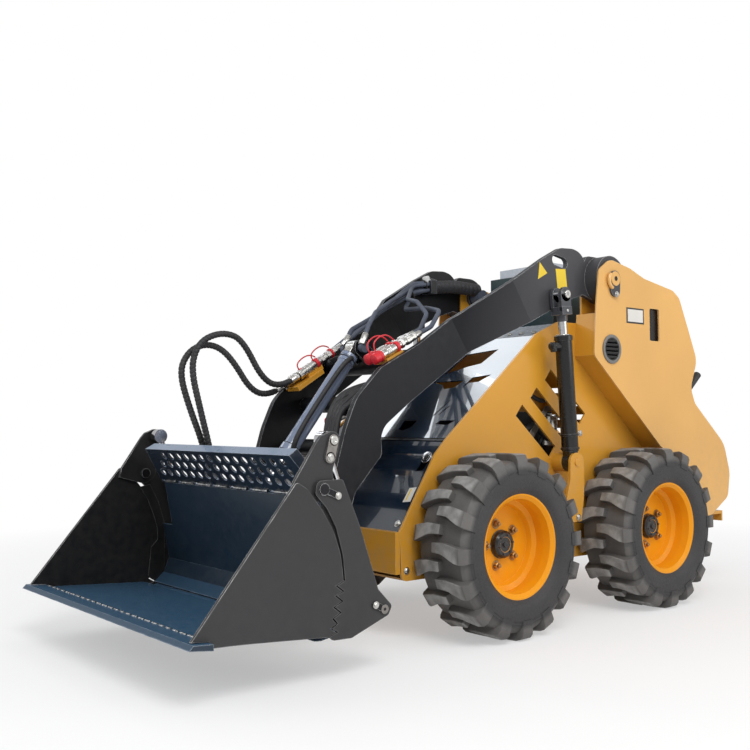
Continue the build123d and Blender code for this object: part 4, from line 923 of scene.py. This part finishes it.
lock_at = on_low_hood(285, 272)
lock_ring = [(0, 21), (3, 21), (4.5, 19), (4.5, 13), (2.5, 12), (2.5, 0.01)]
lock = Shape("hood_lock", "chassis", "chrome", 0.4)
lock.turned(lock_ring, lock_at, low_out, 40)
lock.done()
core = Shape("hood_lock_core", "chassis", "black", 0.3)
core.turned([(0, 11), (3.4, 11), (3.5, 0.01)], lock_at, low_out, 32)
core.done()
# (x, distance up the slope) corners of the blank plate and of its coloured band
plate_corners = [(267, 105), (301, 110), (300, 162), (270, 157)]
band_corners = [(276, 112), (282, 113), (284, 154), (278, 153)]
plate = Shape("hood_plate_left", "chassis", "decal_white", 0.2)
plate.slab(hood_foot + low_out * -4.9, (1, 0, 0), low_up, plate_corners, 0.8).done()
plate = Shape("hood_plate_band", "chassis", "decal_yellow", 0.1)
plate.slab(hood_foot + low_out * -4.0, (1, 0, 0), low_up, band_corners, 0.4).done()
catch = Shape("hood_catch", "chassis", "zinc", 0.4)
catch.bolt(on_low_hood(289, 30, 0.2), low_out, 9, 6).mirror().done()
seam_corners = [(-314, -3), (314, -3), (314, 3), (-314, 3)]
seam = Shape("hood_seam", "chassis", "black", 0.0)
seam.slab(Vector((0, -121.5, 624.5)), (1, 0, 0), hood_up, seam_corners, 1.0).done()

# what shows of the engine through the frame's slots: (route, radius) of its hoses
engine_hoses = [([(262, 260, 610), (282, 340, 690), (262, 420, 640), (286, 500, 560), (262, 560, 600)], 11),
                ([(270, 330, 790), (288, 400, 740), (258, 460, 800), (280, 560, 700)], 8),
                ([(250, 380, 560), (270, 440, 660), (250, 520, 720), (262, 600, 680)], 7)]
canister_outline = [(0, 20), (3, 34), (110, 34), (114, 30), (116, 12), (124, 12), (125, 0.01)]
bracket_corners = [(300, 620), (335, 612), (420, 720), (470, 726), (470, 742), (410, 740)]
plumbing = Shape("engine_hoses", "chassis", "hose", 0.0)
for points, radius in engine_hoses:
    plumbing.tube(smooth_path(points, 10), radius, 12)
plumbing.done()
canister = Shape("engine_canister", "chassis", "zinc", 1.0)
canister.turned(canister_outline, (250, 455, 590), (0, 0.15, 1), 32)
canister.done()
bracket = Shape("engine_bracket", "chassis", "worn", 1.0)
bracket.prism(bracket_corners, 284, 288)
bracket.done()

# ---- floor, lights and world --------------------------------------------------------------
floor_size = 40.0
floor_mesh = bpy.data.meshes.new("floor")
corner = floor_size / 2
floor_mesh.from_pydata([(-corner, -corner, 0), (corner, -corner, 0), (corner, corner, 0),
                        (-corner, corner, 0)], [], [(0, 1, 2, 3)])
floor = bpy.data.objects.new("floor", floor_mesh)
scene.collection.objects.link(floor)
floor_look = Mat("floor_white")
grain = floor_look.noise(3.0)
floor_look.set(Base_Color=floor_look.mix(grain, (0.90, 0.90, 0.905), (0.92, 0.92, 0.92)), Roughness=0.8)
# far from the machine the floor fades into the white backdrop that the camera sees
flat = floor_look.node("ShaderNodeVectorMath", _operation="LENGTH", i0=floor_look.coords)
away = floor_look.ramp(flat.outputs["Value"], 1.5, 3.6, 0.42, 1.0)
seen = floor_look.node("ShaderNodeLightPath").outputs["Is Camera Ray"]
white = floor_look.node("ShaderNodeEmission", Strength=1.0).outputs[0]
blended = floor_look.node("ShaderNodeMixShader", i0=floor_look.math("MULTIPLY", away, seen),
                          i1=floor_look.bsdf.outputs[0], i2=white).outputs[0]
floor_look.link(blended, floor_look.tree.nodes["Material Output"].inputs["Surface"])
floor.data.materials.append(floor_look.material)

scene.view_settings.view_transform = "Standard"
world = bpy.data.worlds.new("studio")
scene.world = world
world.use_nodes = True
tree = world.node_tree
fill = tree.nodes["Background"]
fill.inputs["Color"].default_value = (1.0, 1.0, 1.0, 1.0)
fill.inputs["Strength"].default_value = 0.55
ray = tree.nodes.new("ShaderNodeLightPath")
backdrop = tree.nodes.new("ShaderNodeBackground")
backdrop.inputs["Color"].default_value = (1.0, 1.0, 1.0, 1.0)
backdrop.inputs["Strength"].default_value = 1.0
blend = tree.nodes.new("ShaderNodeMixShader")
tree.links.new(ray.outputs["Is Camera Ray"], blend.inputs[0])
tree.links.new(fill.outputs[0], blend.inputs[1])
tree.links.new(backdrop.outputs[0], blend.inputs[2])
tree.links.new(blend.outputs[0], tree.nodes["World Output"].inputs["Surface"])


def area_light(name, place, target, size, power):
    data = bpy.data.lights.new(name, "AREA")
    data.energy, data.shape = power, "RECTANGLE"
    data.color = (0.88, 0.94, 1.0) if name.startswith("card") else (1.0, 1.0, 1.0)
    data.size, data.size_y = size if isinstance(size, tuple) else (size, size)
    lamp = bpy.data.objects.new(name, data)
    lamp.location = place
    lamp.rotation_euler = (Vector(target) - Vector(place)).to_track_quat("-Z", "Y").to_euler()
    scene.collection.objects.link(lamp)


area_light("key", (3.5, -2.0, 4.5), (0, 0, 0.6), 2.5, 150)
area_light("side", (4.5, 2.5, 2.5), (0, 0, 0.6), 3.0, 60)
area_light("front", (-2.5, -4.5, 3.0), (0, -0.4, 0.4), 3.0, 45)
# bright cards on the far side, for the polished hood to mirror
# (name, place, width and height, radiance)
cards = [("card_deck", (-1.80, 0.75, 3.00), (0.50, 0.55), 2.9),
         ("card_right", (-1.75, 0.36, 2.95), (0.34, 0.34), 2.4),
         ("card_left", (-2.22, 0.20, 2.60), (0.40, 0.40), 4.0),
         ("card_low", (-2.25, -1.15, 2.16), (0.42, 0.40), 5.0),
         ("card_line", (-1.93, -1.26, 2.42), (0.60, 0.07), 5.5)]
for name, place, size, glow in cards:
    area_light(name, place, (0.15, -0.2, 0.65), size, glow * math.pi * size[0] * size[1])
